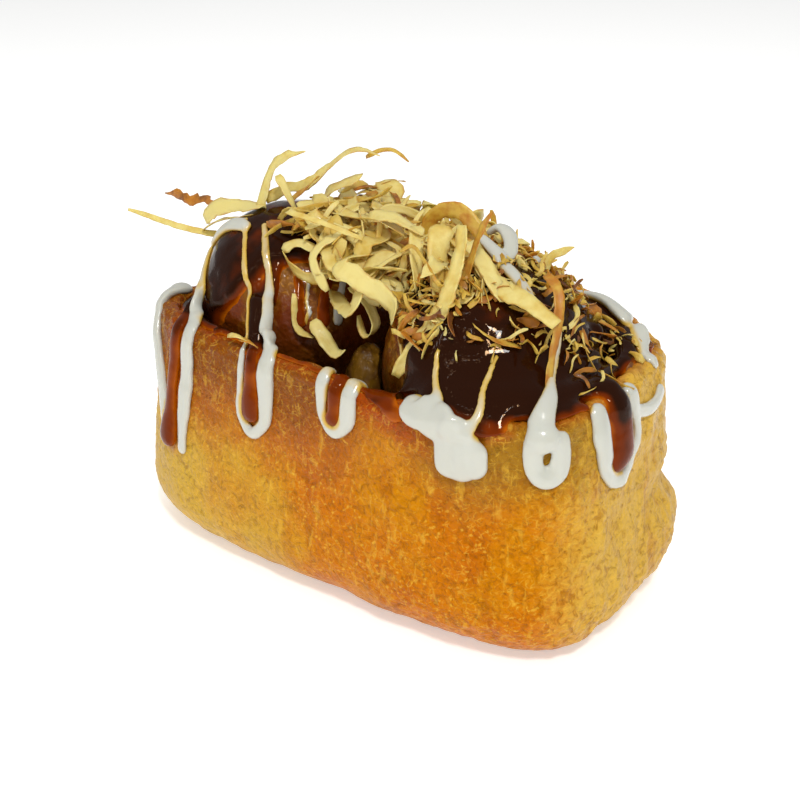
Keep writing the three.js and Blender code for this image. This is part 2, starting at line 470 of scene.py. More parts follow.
class Recipe:
    """A material under construction."""

    def __init__(self, name: str) -> None:
        """Start an empty material with its shader."""
        self.material = bpy.data.materials.new(name)
        self.material.use_nodes = True
        self.tree = self.material.node_tree
        self.tree.nodes.clear()
        self.shader = self.tree.nodes.new("ShaderNodeBsdfPrincipled")
        output = self.tree.nodes.new("ShaderNodeOutputMaterial")
        self.tree.links.new(self.shader.outputs[0], output.inputs["Surface"])
        where = self.tree.nodes.new("ShaderNodeTexCoord")
        millimetres = self.tree.nodes.new("ShaderNodeVectorMath")
        millimetres.operation = "SCALE"
        millimetres.inputs["Scale"].default_value = 1 / MM
        self.tree.links.new(where.outputs["Object"], millimetres.inputs[0])
        self.place = Tap(self, millimetres.outputs[0])

    def node(self, kind: str, settings: dict, inputs: dict, out: int | str = 0) -> Tap:
        """Add any node.

        Args:
            kind: The node's type.
            settings: Its settings, set first.
            inputs: Its sockets by number or name, as taps or plain values.
            out: The output to take.

        Returns:
            That output.
        """
        return Tap(self, add_node(self.tree, kind, settings, inputs).outputs[out])

    def axes(self) -> tuple[Tap, Tap, Tap]:
        """Give the three coordinates in mm."""
        return tuple(self.node("ShaderNodeSeparateXYZ", {}, {0: self.place}, k) for k in range(3))

    def mark(self, name: str) -> Tap:
        """Read a number stored on the mesh."""
        return self.node("ShaderNodeAttribute", {"attribute_name": name}, {}, "Fac")

    def stretched(self, size: tuple[float, float, float], shift: float = 0.0) -> Tap:
        """Give the place divided by a size along each axis."""
        scaled = self.node("ShaderNodeVectorMath", {"operation": "DIVIDE"}, {0: self.place, 1: size})
        return self.node("ShaderNodeVectorMath", {"operation": "ADD"}, {0: scaled, 1: (shift,) * 3})

    def moved(self, where: Tap, amount: Tap) -> Tap:
        """Shift a place by the same amount along each axis."""
        step = self.node("ShaderNodeCombineXYZ", {}, {k: amount for k in range(3)})
        return self.node("ShaderNodeVectorMath", {"operation": "ADD"}, {0: where, 1: step})

    def cloud(self, size: float, detail: float = 2.0, where: Tap | None = None, warp: float = 0.0,
              rough: float = 0.5) -> Tap:
        """Add noise.

        Args:
            size: Width of one bump in mm.
            detail: How many finer layers it has.
            where: The place to read it at, or the plain place.
            warp: How strongly it is distorted.
            rough: How strong the finer layers are.

        Returns:
            A value around 0.5.
        """
        return self.node("ShaderNodeTexNoise", {}, {
            "Vector": where or self.place, "Scale": 1 / size, "Detail": detail, "Roughness": rough,
            "Distortion": warp})

    def cells(self, size: float, feature: str = "F1", where: Tap | None = None) -> Tap:
        """Add a cell pattern and give its distance."""
        return self.node("ShaderNodeTexVoronoi", {"feature": feature}, {
            "Vector": where or self.place, "Scale": 1 / size}, "Distance")

    def blend(self, share: object, low: object, high: object) -> Tap:
        """Mix two colours.

        Args:
            share: How much of the second.
            low: The first colour.
            high: The second colour.

        Returns:
            The mixed colour.
        """
        return self.node("ShaderNodeMix", {"data_type": "RGBA"}, {0: share, 6: low, 7: high}, 2)

    def bump(self, height: Tap, depth: float, under: Tap | None = None) -> Tap:
        """Add a bump.

        Args:
            height: The height pattern.
            depth: The bump's depth in mm.
            under: The bump that it lies over.

        Returns:
            The bent normal.
        """
        inputs = {"Height": height, "Strength": 1.0, "Distance": depth * MM}
        if under:
            inputs["Normal"] = under
        return self.node("ShaderNodeBump", {}, inputs)

    def finish(self, **sockets: object) -> bpy.types.Material:
        """Set the shader's sockets.

        Args:
            **sockets: Taps or plain values by the sockets' names, with _ for a space.

        Returns:
            The finished material.
        """
        for name, value in sockets.items():
            socket = self.shader.inputs[name.replace("_", " ")]
            if isinstance(value, Tap):
                self.tree.links.new(value.socket, socket)
            else:
                socket.default_value = value
        return self.material


@dataclass(frozen=True)
class TofuSkin:
    """Moist fried tofu skin: golden, crinkled, stained by sauce under the rim, with painted highlights
    among its pale flecks and painted shade along its foot.
    """

    rim: float
    golden: tuple = paint(198, 124, 0)
    orange: tuple = paint(196, 108, 0)
    olive: tuple = paint(204, 166, 56)
    straw: tuple = paint(216, 176, 72)
    blush: tuple = paint(170, 90, 22)
    brown: tuple = paint(120, 58, 0)
    moss: tuple = paint(128, 98, 26)
    ember: tuple = paint(158, 58, 0)
    # Colour of the toasted pits, and also of the painted shade along the foot.
    toast_and_shade: tuple = paint(132, 76, 0)
    # Pale flecks: partly the skin's own pale fibres, partly painted highlights of its wet sheen.
    fleck_and_glint: tuple = paint(232, 184, 62)
    sheen: tuple = paint(255, 206, 110)

    def material(self) -> bpy.types.Material:
        """Build the material.

        Returns:
            The material.
        """
        r = Recipe("tofu_skin")
        x, y, z = r.axes()
        wide = r.cloud(15, 3.0)
        fine = r.cloud(1.5, 5.0, warp=0.9, rough=0.62)
        folds = r.cloud(1.0, 3.0, r.stretched((1.5, 1.5, 4.0)), 0.7, 0.6)
        wander = r.moved(r.stretched((1.0, 1.0, 0.8)), fine * 2.2)
        crinkle = r.cells(1.3, "DISTANCE_TO_EDGE", wander)
        pores = r.cells(0.62)
        colour = r.blend(wide.step(0.38, 0.62), self.golden, self.orange)
        pale_end = (x + y * 0.5 + (wide - 0.5) * 34 + (fine - 0.5) * 8).step(-8, -34)
        far = 1 - y.step(-8, 22) * 0.6
        colour = r.blend(pale_end * (z + (wide - 0.5) * 10).step(31, 20) * far * 0.9, colour, self.olive)
        colour = r.blend((x + y * 0.25 + (fine - 0.5) * 8).step(32, 42) * 0.85, colour, self.straw)
        ragged = z + (wide - 0.5) * 18 + (fine - 0.5) * 5
        under = ragged.step(self.rim - 19, self.rim - 8)
        left = (x + (wide - 0.5) * 14).step(14, 4)
        colour = r.blend(under * left * 0.85, colour, self.blush)
        colour = r.blend(ragged.step(self.rim - 13, self.rim - 3) * left * 0.85, colour, self.brown)
        front = y.step(-6, -14)
        mossy = ragged.step(self.rim - 15, self.rim - 7) * (x + (fine - 0.5) * 6).step(14, 24) * front
        colour = r.blend(mossy * 0.7, colour, self.moss)
        glow = ragged.step(self.rim - 9, self.rim - 3) * x.step(2, 9) * x.step(26, 17) * front
        colour = r.blend(glow * 0.9, colour, self.ember)
        # Painted shade: darker towards the foot, where the pouch meets the table.
        colour = r.blend(z.step(4.5, 0.2) * 0.6, colour, self.toast_and_shade)
        colour = r.blend(r.mark("halo") * (0.55 + (fine - 0.5)), colour, self.ember)
        streaks = r.cloud(1.0, 2.0, r.stretched((3.4, 3.4, 16.0), 3.1))
        streaky = streaks.step(0.52, 0.66) * z.step(34, 26) * (1 - pale_end)
        colour = r.blend(streaky * 0.3, colour, self.ember)
        colour = r.blend(fine.step(0.5, 0.34) * 0.46, colour, self.toast_and_shade)
        # Painted highlights: pale flecks on the fold ridges, the crinkle edges and the blister tops stand
        # in for glints on the wet skin, along with some pale fibre of its own.
        colour = r.blend(folds.step(0.54, 0.7) * 0.34, colour, self.fleck_and_glint)
        colour = r.blend(crinkle.step(0.08, 0.0) * fine.step(0.46, 0.6) * 0.42, colour, self.fleck_and_glint)
        blisters = r.cells(1.15, where=wander).step(0.3, 0.14) * wide.step(0.4, 0.55) * z.step(28, 22)
        colour = r.blend(blisters * 0.5, colour, self.fleck_and_glint)
        damp = (under * 0.6 + r.mark("halo") * 0.5).least(1.0)
        relief = r.bump(fine, 0.4)
        relief = r.bump(folds, 0.16, relief)
        relief = r.bump(crinkle.least(0.25), 0.2, relief)
        relief = r.bump(pores, 0.08, relief)
        return r.finish(
            Base_Color=colour, Roughness=0.38 - damp * 0.16 + (fine - 0.5) * 0.2, Normal=relief,
            Coat_Weight=damp * 0.16, Coat_Roughness=0.12, Specular_IOR_Level=0.2, Specular_Tint=self.sheen)


@dataclass(frozen=True)
class BallCrust:
    """Browned batter under a film of sauce, with painted shade that is darkest low in the cleft."""

    # Height where the painted shade in the cleft is darkest.
    low: float
    crust: tuple = paint(128, 78, 4)
    light: tuple = paint(176, 118, 30)
    red: tuple = paint(112, 44, 4)
    # Colour of the painted shade low in the cleft.
    dark: tuple = paint(84, 42, 4)

    def material(self) -> bpy.types.Material:
        """Build the material.

        Returns:
            The material.
        """
        r = Recipe("ball_crust")
        z = r.axes()[2]
        wide = r.cloud(7, 3.0)
        fine = r.cloud(1.3, 4.0, warp=0.8)
        colour = r.blend(wide.step(0.36, 0.6), self.crust, self.red)
        colour = r.blend(fine.step(0.5, 0.68) * wide.step(0.62, 0.42), colour, self.light)
        # Painted shade: the crust darkens down into the cleft where the ball sinks into the pouch.
        depth = (z + (wide - 0.5) * 7).step(self.low + 12, self.low + 1)
        colour = r.blend(depth * 0.9, colour, self.dark)
        relief = r.bump(fine, 0.3)
        relief = r.bump(r.cells(0.8), 0.12, relief)
        return r.finish(Base_Color=colour, Roughness=0.34, Normal=relief, Coat_Weight=0.2,
                        Coat_Roughness=0.08, Specular_IOR_Level=0.15)


@dataclass(frozen=True)
class BatterScrap:
    """Olive-brown cooked batter with pale specks."""

    body: tuple = paint(108, 74, 10)
    pale: tuple = paint(150, 112, 36)
    dark: tuple = paint(70, 40, 4)

    def material(self) -> bpy.types.Material:
        """Build the material.

        Returns:
            The material.
        """
        r = Recipe("batter")
        wide = r.cloud(3.0, 2.0)
        speck = r.cells(0.5)
        colour = r.blend(wide.step(0.4, 0.65), self.body, self.dark)
        colour = r.blend(speck.step(0.24, 0.12) * 0.45, colour, self.pale)
        return r.finish(Base_Color=colour, Roughness=0.5, Normal=r.bump(wide, 0.3), Coat_Weight=0.05,
                        Coat_Roughness=0.2, Specular_IOR_Level=0.12)


@dataclass(frozen=True)
class BrownSauce:
    """Glossy brown sauce: amber where thin, nearly black where deep."""

    amber: tuple = paint(186, 92, 2)
    red: tuple = paint(112, 40, 0)
    deep: tuple = paint(36, 12, 3)
    sheen: tuple = paint(255, 205, 155)

    def material(self) -> bpy.types.Material:
        """Build the material.

        Returns:
            The material.
        """
        r = Recipe("brown_sauce")
        depth = r.mark("depth") + (r.cloud(3.0, 2.0) - 0.5) * 0.25
        colour = r.blend(depth.step(0.0, 0.5), self.amber, self.red)
        colour = r.blend(depth.step(0.45, 1.15), colour, self.deep)
        return r.finish(Base_Color=colour, Roughness=0.07 + (r.cloud(1.4) - 0.5) * 0.04,
                        Normal=r.bump(r.cloud(1.8, 2.0), 0.12), Coat_Weight=0.1, Coat_Roughness=0.03,
                        Specular_IOR_Level=0.12, Specular_Tint=self.sheen)


@dataclass(frozen=True)
class Mayonnaise:
    """Thick white mayonnaise that yellows and browns where it touches the sauce."""

    white: tuple = paint(196, 196, 184)
    yellow: tuple = paint(206, 170, 70)
    amber: tuple = paint(160, 88, 8)

    def material(self) -> bpy.types.Material:
        """Build the material.

        Returns:
            The material.
        """
        r = Recipe("mayonnaise")
        stain = r.mark("stain") + (r.cloud(2.5, 2.0) - 0.5) * 0.3
        colour = r.blend(stain.step(0.15, 0.8), self.white, self.yellow)
        colour = r.blend(stain.step(0.8, 1.15), colour, self.amber)
        return r.finish(Base_Color=colour, Roughness=0.24, Normal=r.bump(r.cloud(2.0), 0.08),
                        Coat_Weight=0.5, Coat_Roughness=0.08, Subsurface_Weight=0.25,
                        Subsurface_Radius=(0.0015, 0.0012, 0.0008), Subsurface_Scale=0.5)


@dataclass(frozen=True)
class BonitoShaving:
    """Dry fish shavings: pale straw with fibres, some amber or brown."""

    pale: tuple = paint(228, 206, 126)
    straw: tuple = paint(206, 168, 66)
    amber: tuple = paint(176, 110, 18)
    brown: tuple = paint(96, 50, 8)

    def material(self) -> bpy.types.Material:
        """Build the material.

        Returns:
            The material.
        """
        r = Recipe("bonito")
        tone = r.mark("tone")
        mottle = r.cloud(2.0, 3.0)
        fibre = r.cloud(0.5, 2.0)
        share = tone + (mottle - 0.5) * 0.75
        colour = r.blend(share.step(0.0, 0.45), self.pale, self.straw)
        colour = r.blend(share.step(0.45, 0.75), colour, self.amber)
        colour = r.blend(share.step(0.75, 1.0), colour, self.brown)
        colour = r.blend(r.mark("edge").step(0.75, 1.0) * mottle.step(0.4, 0.6) * 0.6, colour, self.amber)
        return r.finish(Base_Color=colour, Roughness=0.5, Normal=r.bump(fibre, 0.08), Coat_Weight=0.1,
                        Subsurface_Weight=0.3, Subsurface_Radius=(0.002, 0.0015, 0.0006),
                        Subsurface_Scale=0.4)


@dataclass(frozen=True)
class PlainFloor:
    """Plain pale table top."""

    tone: tuple = paint(250, 250, 249)

    def material(self) -> bpy.types.Material:
        """Build the material.

        Returns:
            The material.
        """
        r = Recipe("floor")
        return r.finish(Base_Color=r.blend(r.cloud(60) * 0.04, self.tone, paint(240, 239, 236)),
                        Roughness=0.8, Specular_IOR_Level=0.1, Emission_Color=self.tone,
                        Emission_Strength=0.42)


# ---------------------------------------------------------------- what things lie on


class Ground:
    """The pouch, the balls and the scrap as one surface that sauce and mayonnaise lie on."""

    HUB = 19.0
    ROOF = 90.0
    SKY = 2.6

    def __init__(self, meshes: list[bpy.types.Mesh], rim: float) -> None:
        """Gather the surface.

        Args:
            meshes: The meshes in mm.
            rim: Height of the pouch's rim in mm.
        """
        self.meshes = meshes
        points, faces, count = [], [], 0
        for mesh in meshes:
            points += get_points(mesh).tolist()
            faces += [[i + count for i in p.vertices] for p in mesh.polygons]
            count += len(mesh.vertices)
        self.tree = BVHTree.FromPolygons(points, faces)
        self.rim = rim

    def covered(self, mesh: bpy.types.Mesh) -> "Ground":
        """Give the surface with one more mesh over it."""
        return Ground([*self.meshes, mesh], self.rim)

    def height(self, x: float, y: float) -> float:
        """Give the height of the top surface at a place in plan."""
        hit = self.tree.ray_cast(Vector((x, y, self.ROOF)), Vector((0, 0, -1)))[0]
        return hit.z if hit else 0.0

    def outward(self, station: np.ndarray) -> np.ndarray:
        """Give the plan direction out of the wall at a station."""
        hub = np.array([np.clip(station[0], -self.HUB, self.HUB), 0.0])
        return unit(station - hub)

    def wall(self, station: np.ndarray, z: float) -> np.ndarray:
        """Find the outside of the wall at a station and a height.

        Args:
            station: A plan point near the wall.
            z: The height in mm.

        Returns:
            The point on the wall.
        """
        out = self.outward(station)
        start = Vector((*(station + out * 25), z))
        hit = self.tree.ray_cast(start, Vector((-out[0], -out[1], 0)))[0]
        return np.array(hit) if hit else np.array([*station, z])

    def settle(self, path: np.ndarray, lift: np.ndarray, reach: float) -> tuple:
        """Rest a path on the surface.

        Args:
            path: Points near the surface, in mm.
            lift: How far the middle stays above it, at each point.
            reach: How far away a point may be and still be drawn to the surface.

        Returns:
            The settled path and the smoothed surface normal at each point.
        """
        out, normals = [], []
        for point, high in zip(path, lift):
            spot, normal, _, far = self.tree.find_nearest(Vector(point))
            top, facing, _, _ = self.tree.ray_cast(spot + normal * self.SKY, -normal, self.SKY - 0.05)
            if top and facing.dot(normal) > 0.3:
                spot, normal = top, facing
            spot, normal = np.array(spot), np.array(normal)
            above = float(np.dot(point - spot, normal))
            if above < high:
                point = spot + normal * high
            elif far < reach + high:
                point = spot + normal * high
            out.append(point)
            normals.append(normal)
        normals = np.array(normals)
        for _ in range(6):
            normals[1:-1] = (normals[:-2] + normals[1:-1] + normals[2:]) / 3
        return np.array(out), unit(normals)

    def run(self, start: tuple, over: tuple, bottom: float, lean: float) -> np.ndarray:
        """Trace how a strand falls: over the top, across the cleft, and down the wall.

        Args:
            start: Plan point where it begins.
            over: Plan point near the wall where it crosses the rim.
            bottom: Height where it ends.
            lean: Sideways drift on the wall, to the right as seen from outside.

        Returns:
            The path in mm.
        """
        start, station = np.array(start, float), np.array(over, float)
        out = self.outward(station)
        edge = self.wall(station, self.rim - 3)[:2] - out * 1.0
        share = np.linspace(0, 1, 60)
        plan = start + (edge - start) * share[:, None]
        z = np.array([self.height(*p) for p in plan])
        hull = [0]
        for i in range(1, len(z)):
            while len(hull) > 1 and ((z[hull[-1]] - z[hull[-2]]) * (share[i] - share[hull[-2]])
                                     <= (z[i] - z[hull[-2]]) * (share[hull[-1]] - share[hull[-2]])):
                hull.pop()
            hull.append(i)
        path = np.column_stack([plan, np.interp(share, share[hull], z[hull])])
        if bottom < self.rim - 1:
            along = np.array([-out[1], out[0]])
            levels = np.arange(self.rim - 2.0, bottom, -0.5)
            drop = (self.rim - 2.0 - levels) / max(self.rim - 2.0 - bottom, 0.1)
            path = np.vstack([path] + [
                self.wall(station + along * lean * t, level) for t, level in zip(drop, levels)])
        return even(path, FINE_STEP)


# ---------------------------------------------------------------- pouch, balls and scrap


@dataclass
class Food:
    """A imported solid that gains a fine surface; each kind knows its own relief."""

    node: str
    name: str
    slot: str
    mesh: bpy.types.Mesh | None = field(default=None, init=False)

    SUBDIVISION = "CATMULL_CLARK"

    def relief(self, points: np.ndarray) -> np.ndarray:
        """Give how far each point moves out, in each kind's own way."""
        raise NotImplementedError

    def build(self) -> bpy.types.Mesh:
        """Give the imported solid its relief, and keep all of it over the table.

        Returns:
            The mesh in mm.
        """
        self.mesh = fine_copy(self.node, 3, self.SUBDIVISION)
        points = get_points(self.mesh)
        points += get_normals(self.mesh) * self.relief(points)[:, None]
        points[:, 2] = np.maximum(points[:, 2], 0.0)
        set_points(self.mesh, points)
        return self.mesh

    def dress(self, finish: bpy.types.Material) -> None:
        """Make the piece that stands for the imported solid."""
        piece(self.mesh, self.name, self.slot, finish, (self.node,))


@dataclass
class Pouch(Food):
    """The deep-fried tofu pouch with its crinkled skin."""

    dent: float = 0.55
    pucker: float = 0.3
    wrinkle: float = 0.22
    crumb: float = 0.3
    pit: float = 0.1
    end_fold: float = 0.4
    pinch: float = 1.4
    pinch_height: float = 19.0
    swell: float = 0.9
    swell_height: float = 12.5
    foot: float = 2.2

    def relief(self, points: np.ndarray) -> np.ndarray:
        """Work out the crinkles, the folds of the right end and the flat foot.

        Args:
            points: The points in mm.

        Returns:
            How far each point moves out.
        """
        low, high = (np.array(c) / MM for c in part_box(self.node))
        x, y, z = points.T
        end = ramp(x + 0.25 * y, high[0] - 13, high[0] - 4)
        amount = self.dent * grain(points, 16, 1, 2)
        amount += self.pucker * grain(points, 4.5, 2) * (0.7 + 0.9 * end)
        ridge = 1 - np.abs(grain(points, (2.4, 2.4, 1.8), 3)) * 2
        amount += self.wrinkle * ridge * (0.6 + 0.6 * end)
        amount += self.pit * grain(points, 1.1, 4)
        amount += self.end_fold * end * grain(points, (3.0, 2.2, 9.0), 5)
        amount += self.crumb * ramp(z, high[2] - 10, high[2] - 6) * grain(points, 1.3, 6)
        corner = ramp(x, 34, 40) * ramp(y, 2, 9)
        amount -= self.pinch * corner * np.exp(-(((z - self.pinch_height) / 2.6) ** 2))
        amount += self.swell * corner * np.exp(-(((z - self.swell_height) / 4.0) ** 2))
        return amount * ramp(z, low[2] + 0.05, low[2] + self.foot)


@dataclass
class Ball(Food):
    """One takoyaki ball with its crust."""

    seed: int = 11
    swell: float = 0.4
    crust: float = 0.22
    shrink: float = 0.1

    def relief(self, points: np.ndarray) -> np.ndarray:
        """Give the crust's bumps, as how far each point moves out."""
        wide = self.swell * grain(points, 8, self.seed, 2)
        return wide + self.crust * grain(points, 1.9, self.seed + 1, 2) - self.shrink

    def middle(self) -> np.ndarray:
        """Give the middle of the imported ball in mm."""
        low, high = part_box(self.node)
        return np.array((low + high) / 2) / MM


@dataclass
class Scrap(Food):
    """The sliver of cooked batter that stands between the balls."""

    rough: float = 0.3

    SUBDIVISION = "SIMPLE"

    def relief(self, points: np.ndarray) -> np.ndarray:
        """Give the rough surface, as how far each point moves out."""
        return self.rough * grain(points, (1.6, 1.6, 4.0), 21, 3)


# ---------------------------------------------------------------- sauce and mayonnaise


class Kind(Enum):
    """What a strand is made of."""

    SAUCE = "sauce"
    MAYO = "mayo"


@dataclass
class Poured:
    """Something poured in a line, which knows its path and its half widths along it."""

    kind: Kind

    def trace(self, ground: Ground) -> tuple:
        """Give its path, half widths, flatness and reach, in each kind's own way."""
        raise NotImplementedError

    def add(self, ground: Ground, batch: Batch, seed: int) -> None:
        """Lay it and put it in its batch.

        Args:
            ground: What it lies on.
            batch: Where its mesh goes.
            seed: Which unevenness it gets.
        """
        path, radii, flat, reach = self.trace(ground)
        run = np.r_[0, np.cumsum(np.linalg.norm(np.diff(path, axis=0), axis=1))]
        width = np.interp(run / run[-1], np.linspace(0, 1, len(radii)), radii)
        width *= 1 + 0.16 * grain(path + seed * 3.7, 3.5, seed)
        path, normals = ground.settle(path, width * flat * 0.45, reach)
        path = even(path, FINE_STEP, 2)
        normals = normals[np.linspace(0, len(normals) - 1, len(path)).astype(int)]
        run = np.r_[0, np.cumsum(np.linalg.norm(np.diff(path, axis=0), axis=1))]
        width = np.interp(np.linspace(0, 1, len(path)), np.linspace(0, 1, len(width)), width)
        for ahead in (run, run[-1] - run):
            reach_in = np.clip(ahead / np.maximum(width, 0.05), 0.0, 1.0)
            width = width * np.sqrt(np.clip(1 - (1 - reach_in) ** 2, 0.01, 1.0))
        batch.add(*tube(path, normals, width, flat))


@dataclass
class Strand(Poured):
    """One strand that falls over the rim.

    It starts at a plan point on a ball, crosses the rim near another, and ends at a height on the wall.
    """

    start: tuple[float, float]
    over: tuple[float, float]
    bottom: float
    top: float
    wall: float
    bulb: float
    lean: float = 0.0
    flat: float = 0.6

    def trace(self, ground: Ground) -> tuple:
        """Give its path, half widths, flatness and reach."""
        path = ground.run(self.start, self.over, self.bottom, self.lean)
        return path, (self.top, self.top, self.wall, self.wall, self.bulb), self.flat, CLOSE


@dataclass
class Loop(Poured):
    """A strand that comes down the wall, turns, and goes back up beside itself, round a drop of sauce."""

    starts: tuple[tuple[float, float], tuple[float, float]]
    overs: tuple[tuple[float, float], tuple[float, float]]
    bottom: float
    radii: tuple[float, ...]
    flat: float = 0.55

    def trace(self, ground: Ground) -> tuple:
        """Work out where it runs.

        Args:
            ground: What it lies on.

        Returns:
            Its path, half widths, flatness and reach.
        """
        gap = float(np.linalg.norm(np.subtract(*self.overs)))
        legs = [ground.run(start, over, self.bottom + gap / 2, 0.0)
                for start, over in zip(self.starts, self.overs)]
        foot = (legs[0][-1] + legs[1][-1]) / 2 - np.array([0, 0, gap * 0.5])
        turn = spline(np.array([legs[0][-1], foot, legs[1][-1]]), 0.5)
        path = even(np.vstack([legs[0], turn[1:-1], legs[1][::-1]]), FINE_STEP, 2)
        return path, self.radii, self.flat, CLOSE


@dataclass
class Smear(Poured):
    """A strand or blob that follows listed points."""

    points: tuple
    radii: tuple
    flat: float = 0.6
    reach: float = 3.0

    def trace(self, ground: Ground) -> tuple:
        """Give its path, half widths, flatness and reach, on any ground."""
        path = even(spline(np.array(self.points, float), 0.5), FINE_STEP, 1)
        return path, self.radii, self.flat, self.reach


@dataclass
class Coat:
    """Sauce that covers a ball down to a ragged edge."""

    ball: Ball
    thick: float
    edge: tuple[tuple[float, float], ...]
    seed: int
    soft: float = 16.0
    bead: float = 0.25
    sunk: float = 0.8
    waver: tuple[float, float] = (9.0, 5.0)
    ripple: tuple[float, float] = (0.3, 0.16)

    RADIUS = 17
    BEAD_WIDTH = 7

    def add(self, batch: Batch) -> None:
        """Put the coat's shell in the sauce.

        Args:
            batch: The sauce's parts.
        """
        mesh = fine_copy(self.ball.node, 2)
        points, normals = get_points(mesh), get_normals(mesh)
        rays = unit(points - self.ball.middle())
        around = np.degrees(np.arctan2(rays[:, 1], rays[:, 0])) % 360
        above = np.degrees(np.arcsin(rays[:, 2]))
        turns, heights = np.array(sorted(self.edge)).T
        limit = np.interp(around, turns, heights, period=360)
        shell = rays * self.RADIUS
        limit = limit + self.waver[0] * grain(shell, 5.0, self.seed)
        limit = limit + self.waver[1] * grain(shell, 2.2, self.seed + 1)
        share = ramp(above, limit, limit + self.soft)
        amount = (self.sunk + self.thick) * share - self.sunk
        amount += self.bead * np.exp(-(((above - limit - self.soft) / self.BEAD_WIDTH) ** 2))
        uneven = self.ripple[0] * grain(points, 4.0, self.seed + 2)
        amount += (uneven + self.ripple[1] * grain(points, 1.8, self.seed + 3)) * share
        faces = [list(p.vertices) for p in mesh.polygons]
        batch.add(points + normals * amount[:, None], faces)
        bpy.data.meshes.remove(mesh)


@dataclass
class Toppings:
    """All the sauce and all the mayonnaise on the pouch and the balls."""

    ground: Ground
    coats: list[Coat]
    strands: list[Poured]
    sauce_voxel: float = 0.38
    mayo_voxel: float = 0.28
    level_rounds: int = 45
    run_depth: float = 0.42
    soak: tuple[float, float] = (0.2, 2.2)

    def build(self, pouch: bpy.types.Mesh) -> bpy.types.Mesh:
        """Lay everything, melt each kind into one mesh and dress it.

        Args:
            pouch: The pouch's mesh, which is marked where sauce soaks in.

        Returns:
            The sauce's mesh in metres.
        """
        batches = {kind: Batch() for kind in Kind}
        for coat in self.coats:
            coat.add(batches[Kind.SAUCE])
        self.lay(Kind.SAUCE, self.ground, batches[Kind.SAUCE])
        sauce = fused(batches[Kind.SAUCE], self.sauce_voxel, 4)
        relax(sauce, self.level_rounds, self.pooled(get_points(sauce)))
        self.lay(Kind.MAYO, self.ground.covered(sauce), batches[Kind.MAYO])
        mayo = fused(batches[Kind.MAYO], self.mayo_voxel, 5)
        places = get_points(sauce)
        high = ramp(places[:, 2], self.ground.rim - 4, self.ground.rim - 0.5)
        share = self.run_depth + (1 - self.run_depth) * high
        set_mark(sauce, "depth", self.distances(places, self.ground.tree) * share)
        brown = BVHTree.FromPolygons(get_points(sauce).tolist(), [list(p.vertices) for p in sauce.polygons])
        near = self.distances(get_points(mayo), brown)
        set_mark(mayo, "stain", 1 - ramp(near, -0.1, 1.2))
        set_mark(pouch, "halo", 1 - ramp(self.distances(get_points(pouch), brown), *self.soak))
        piece(sauce, "sauce_coat", "brown_sauce", BrownSauce().material())
        piece(mayo, "mayonnaise_drips", "mayonnaise", Mayonnaise().material())
        return sauce

    def lay(self, kind: Kind, ground: Ground, batch: Batch) -> None:
        """Lay the strands of one kind.

        Args:
            kind: Which strands.
            ground: What they lie on.
            batch: Where their meshes go.
        """
        for seed, strand in enumerate(self.strands, 40):
            if strand.kind is kind:
                strand.add(ground, batch, seed)

    def pooled(self, points: np.ndarray) -> np.ndarray:
        """Tell how far each point of the sauce levels itself, most in the pool before the right ball.

        Args:
            points: The points in mm.

        Returns:
            A share for each point.
        """
        x, y, z = points.T
        rim = self.ground.rim
        front = ramp(x, 10, 14) * ramp(-y, 6, 10)
        back = ramp(x, 14, 18) * ramp(y, 8, 11)
        level = ramp(z, rim - 1.5, rim - 0.5) * ramp(-z, -rim - 8, -rim - 4.5)
        return 0.6 * np.maximum(front, back) * level

    @staticmethod
    def distances(points: np.ndarray, tree: BVHTree) -> np.ndarray:
        """Measure how far each point lies above a surface.

        Args:
            points: The points in mm.
            tree: The surface.

        Returns:
            One distance for each point, negative below the surface.
        """
        out = []
        for point in points:
            spot, normal, _, far = tree.find_nearest(Vector(point))
            out.append(-far if (Vector(point) - spot).dot(normal) < 0 else far)
        return np.array(out)


# ---------------------------------------------------------------- shavings


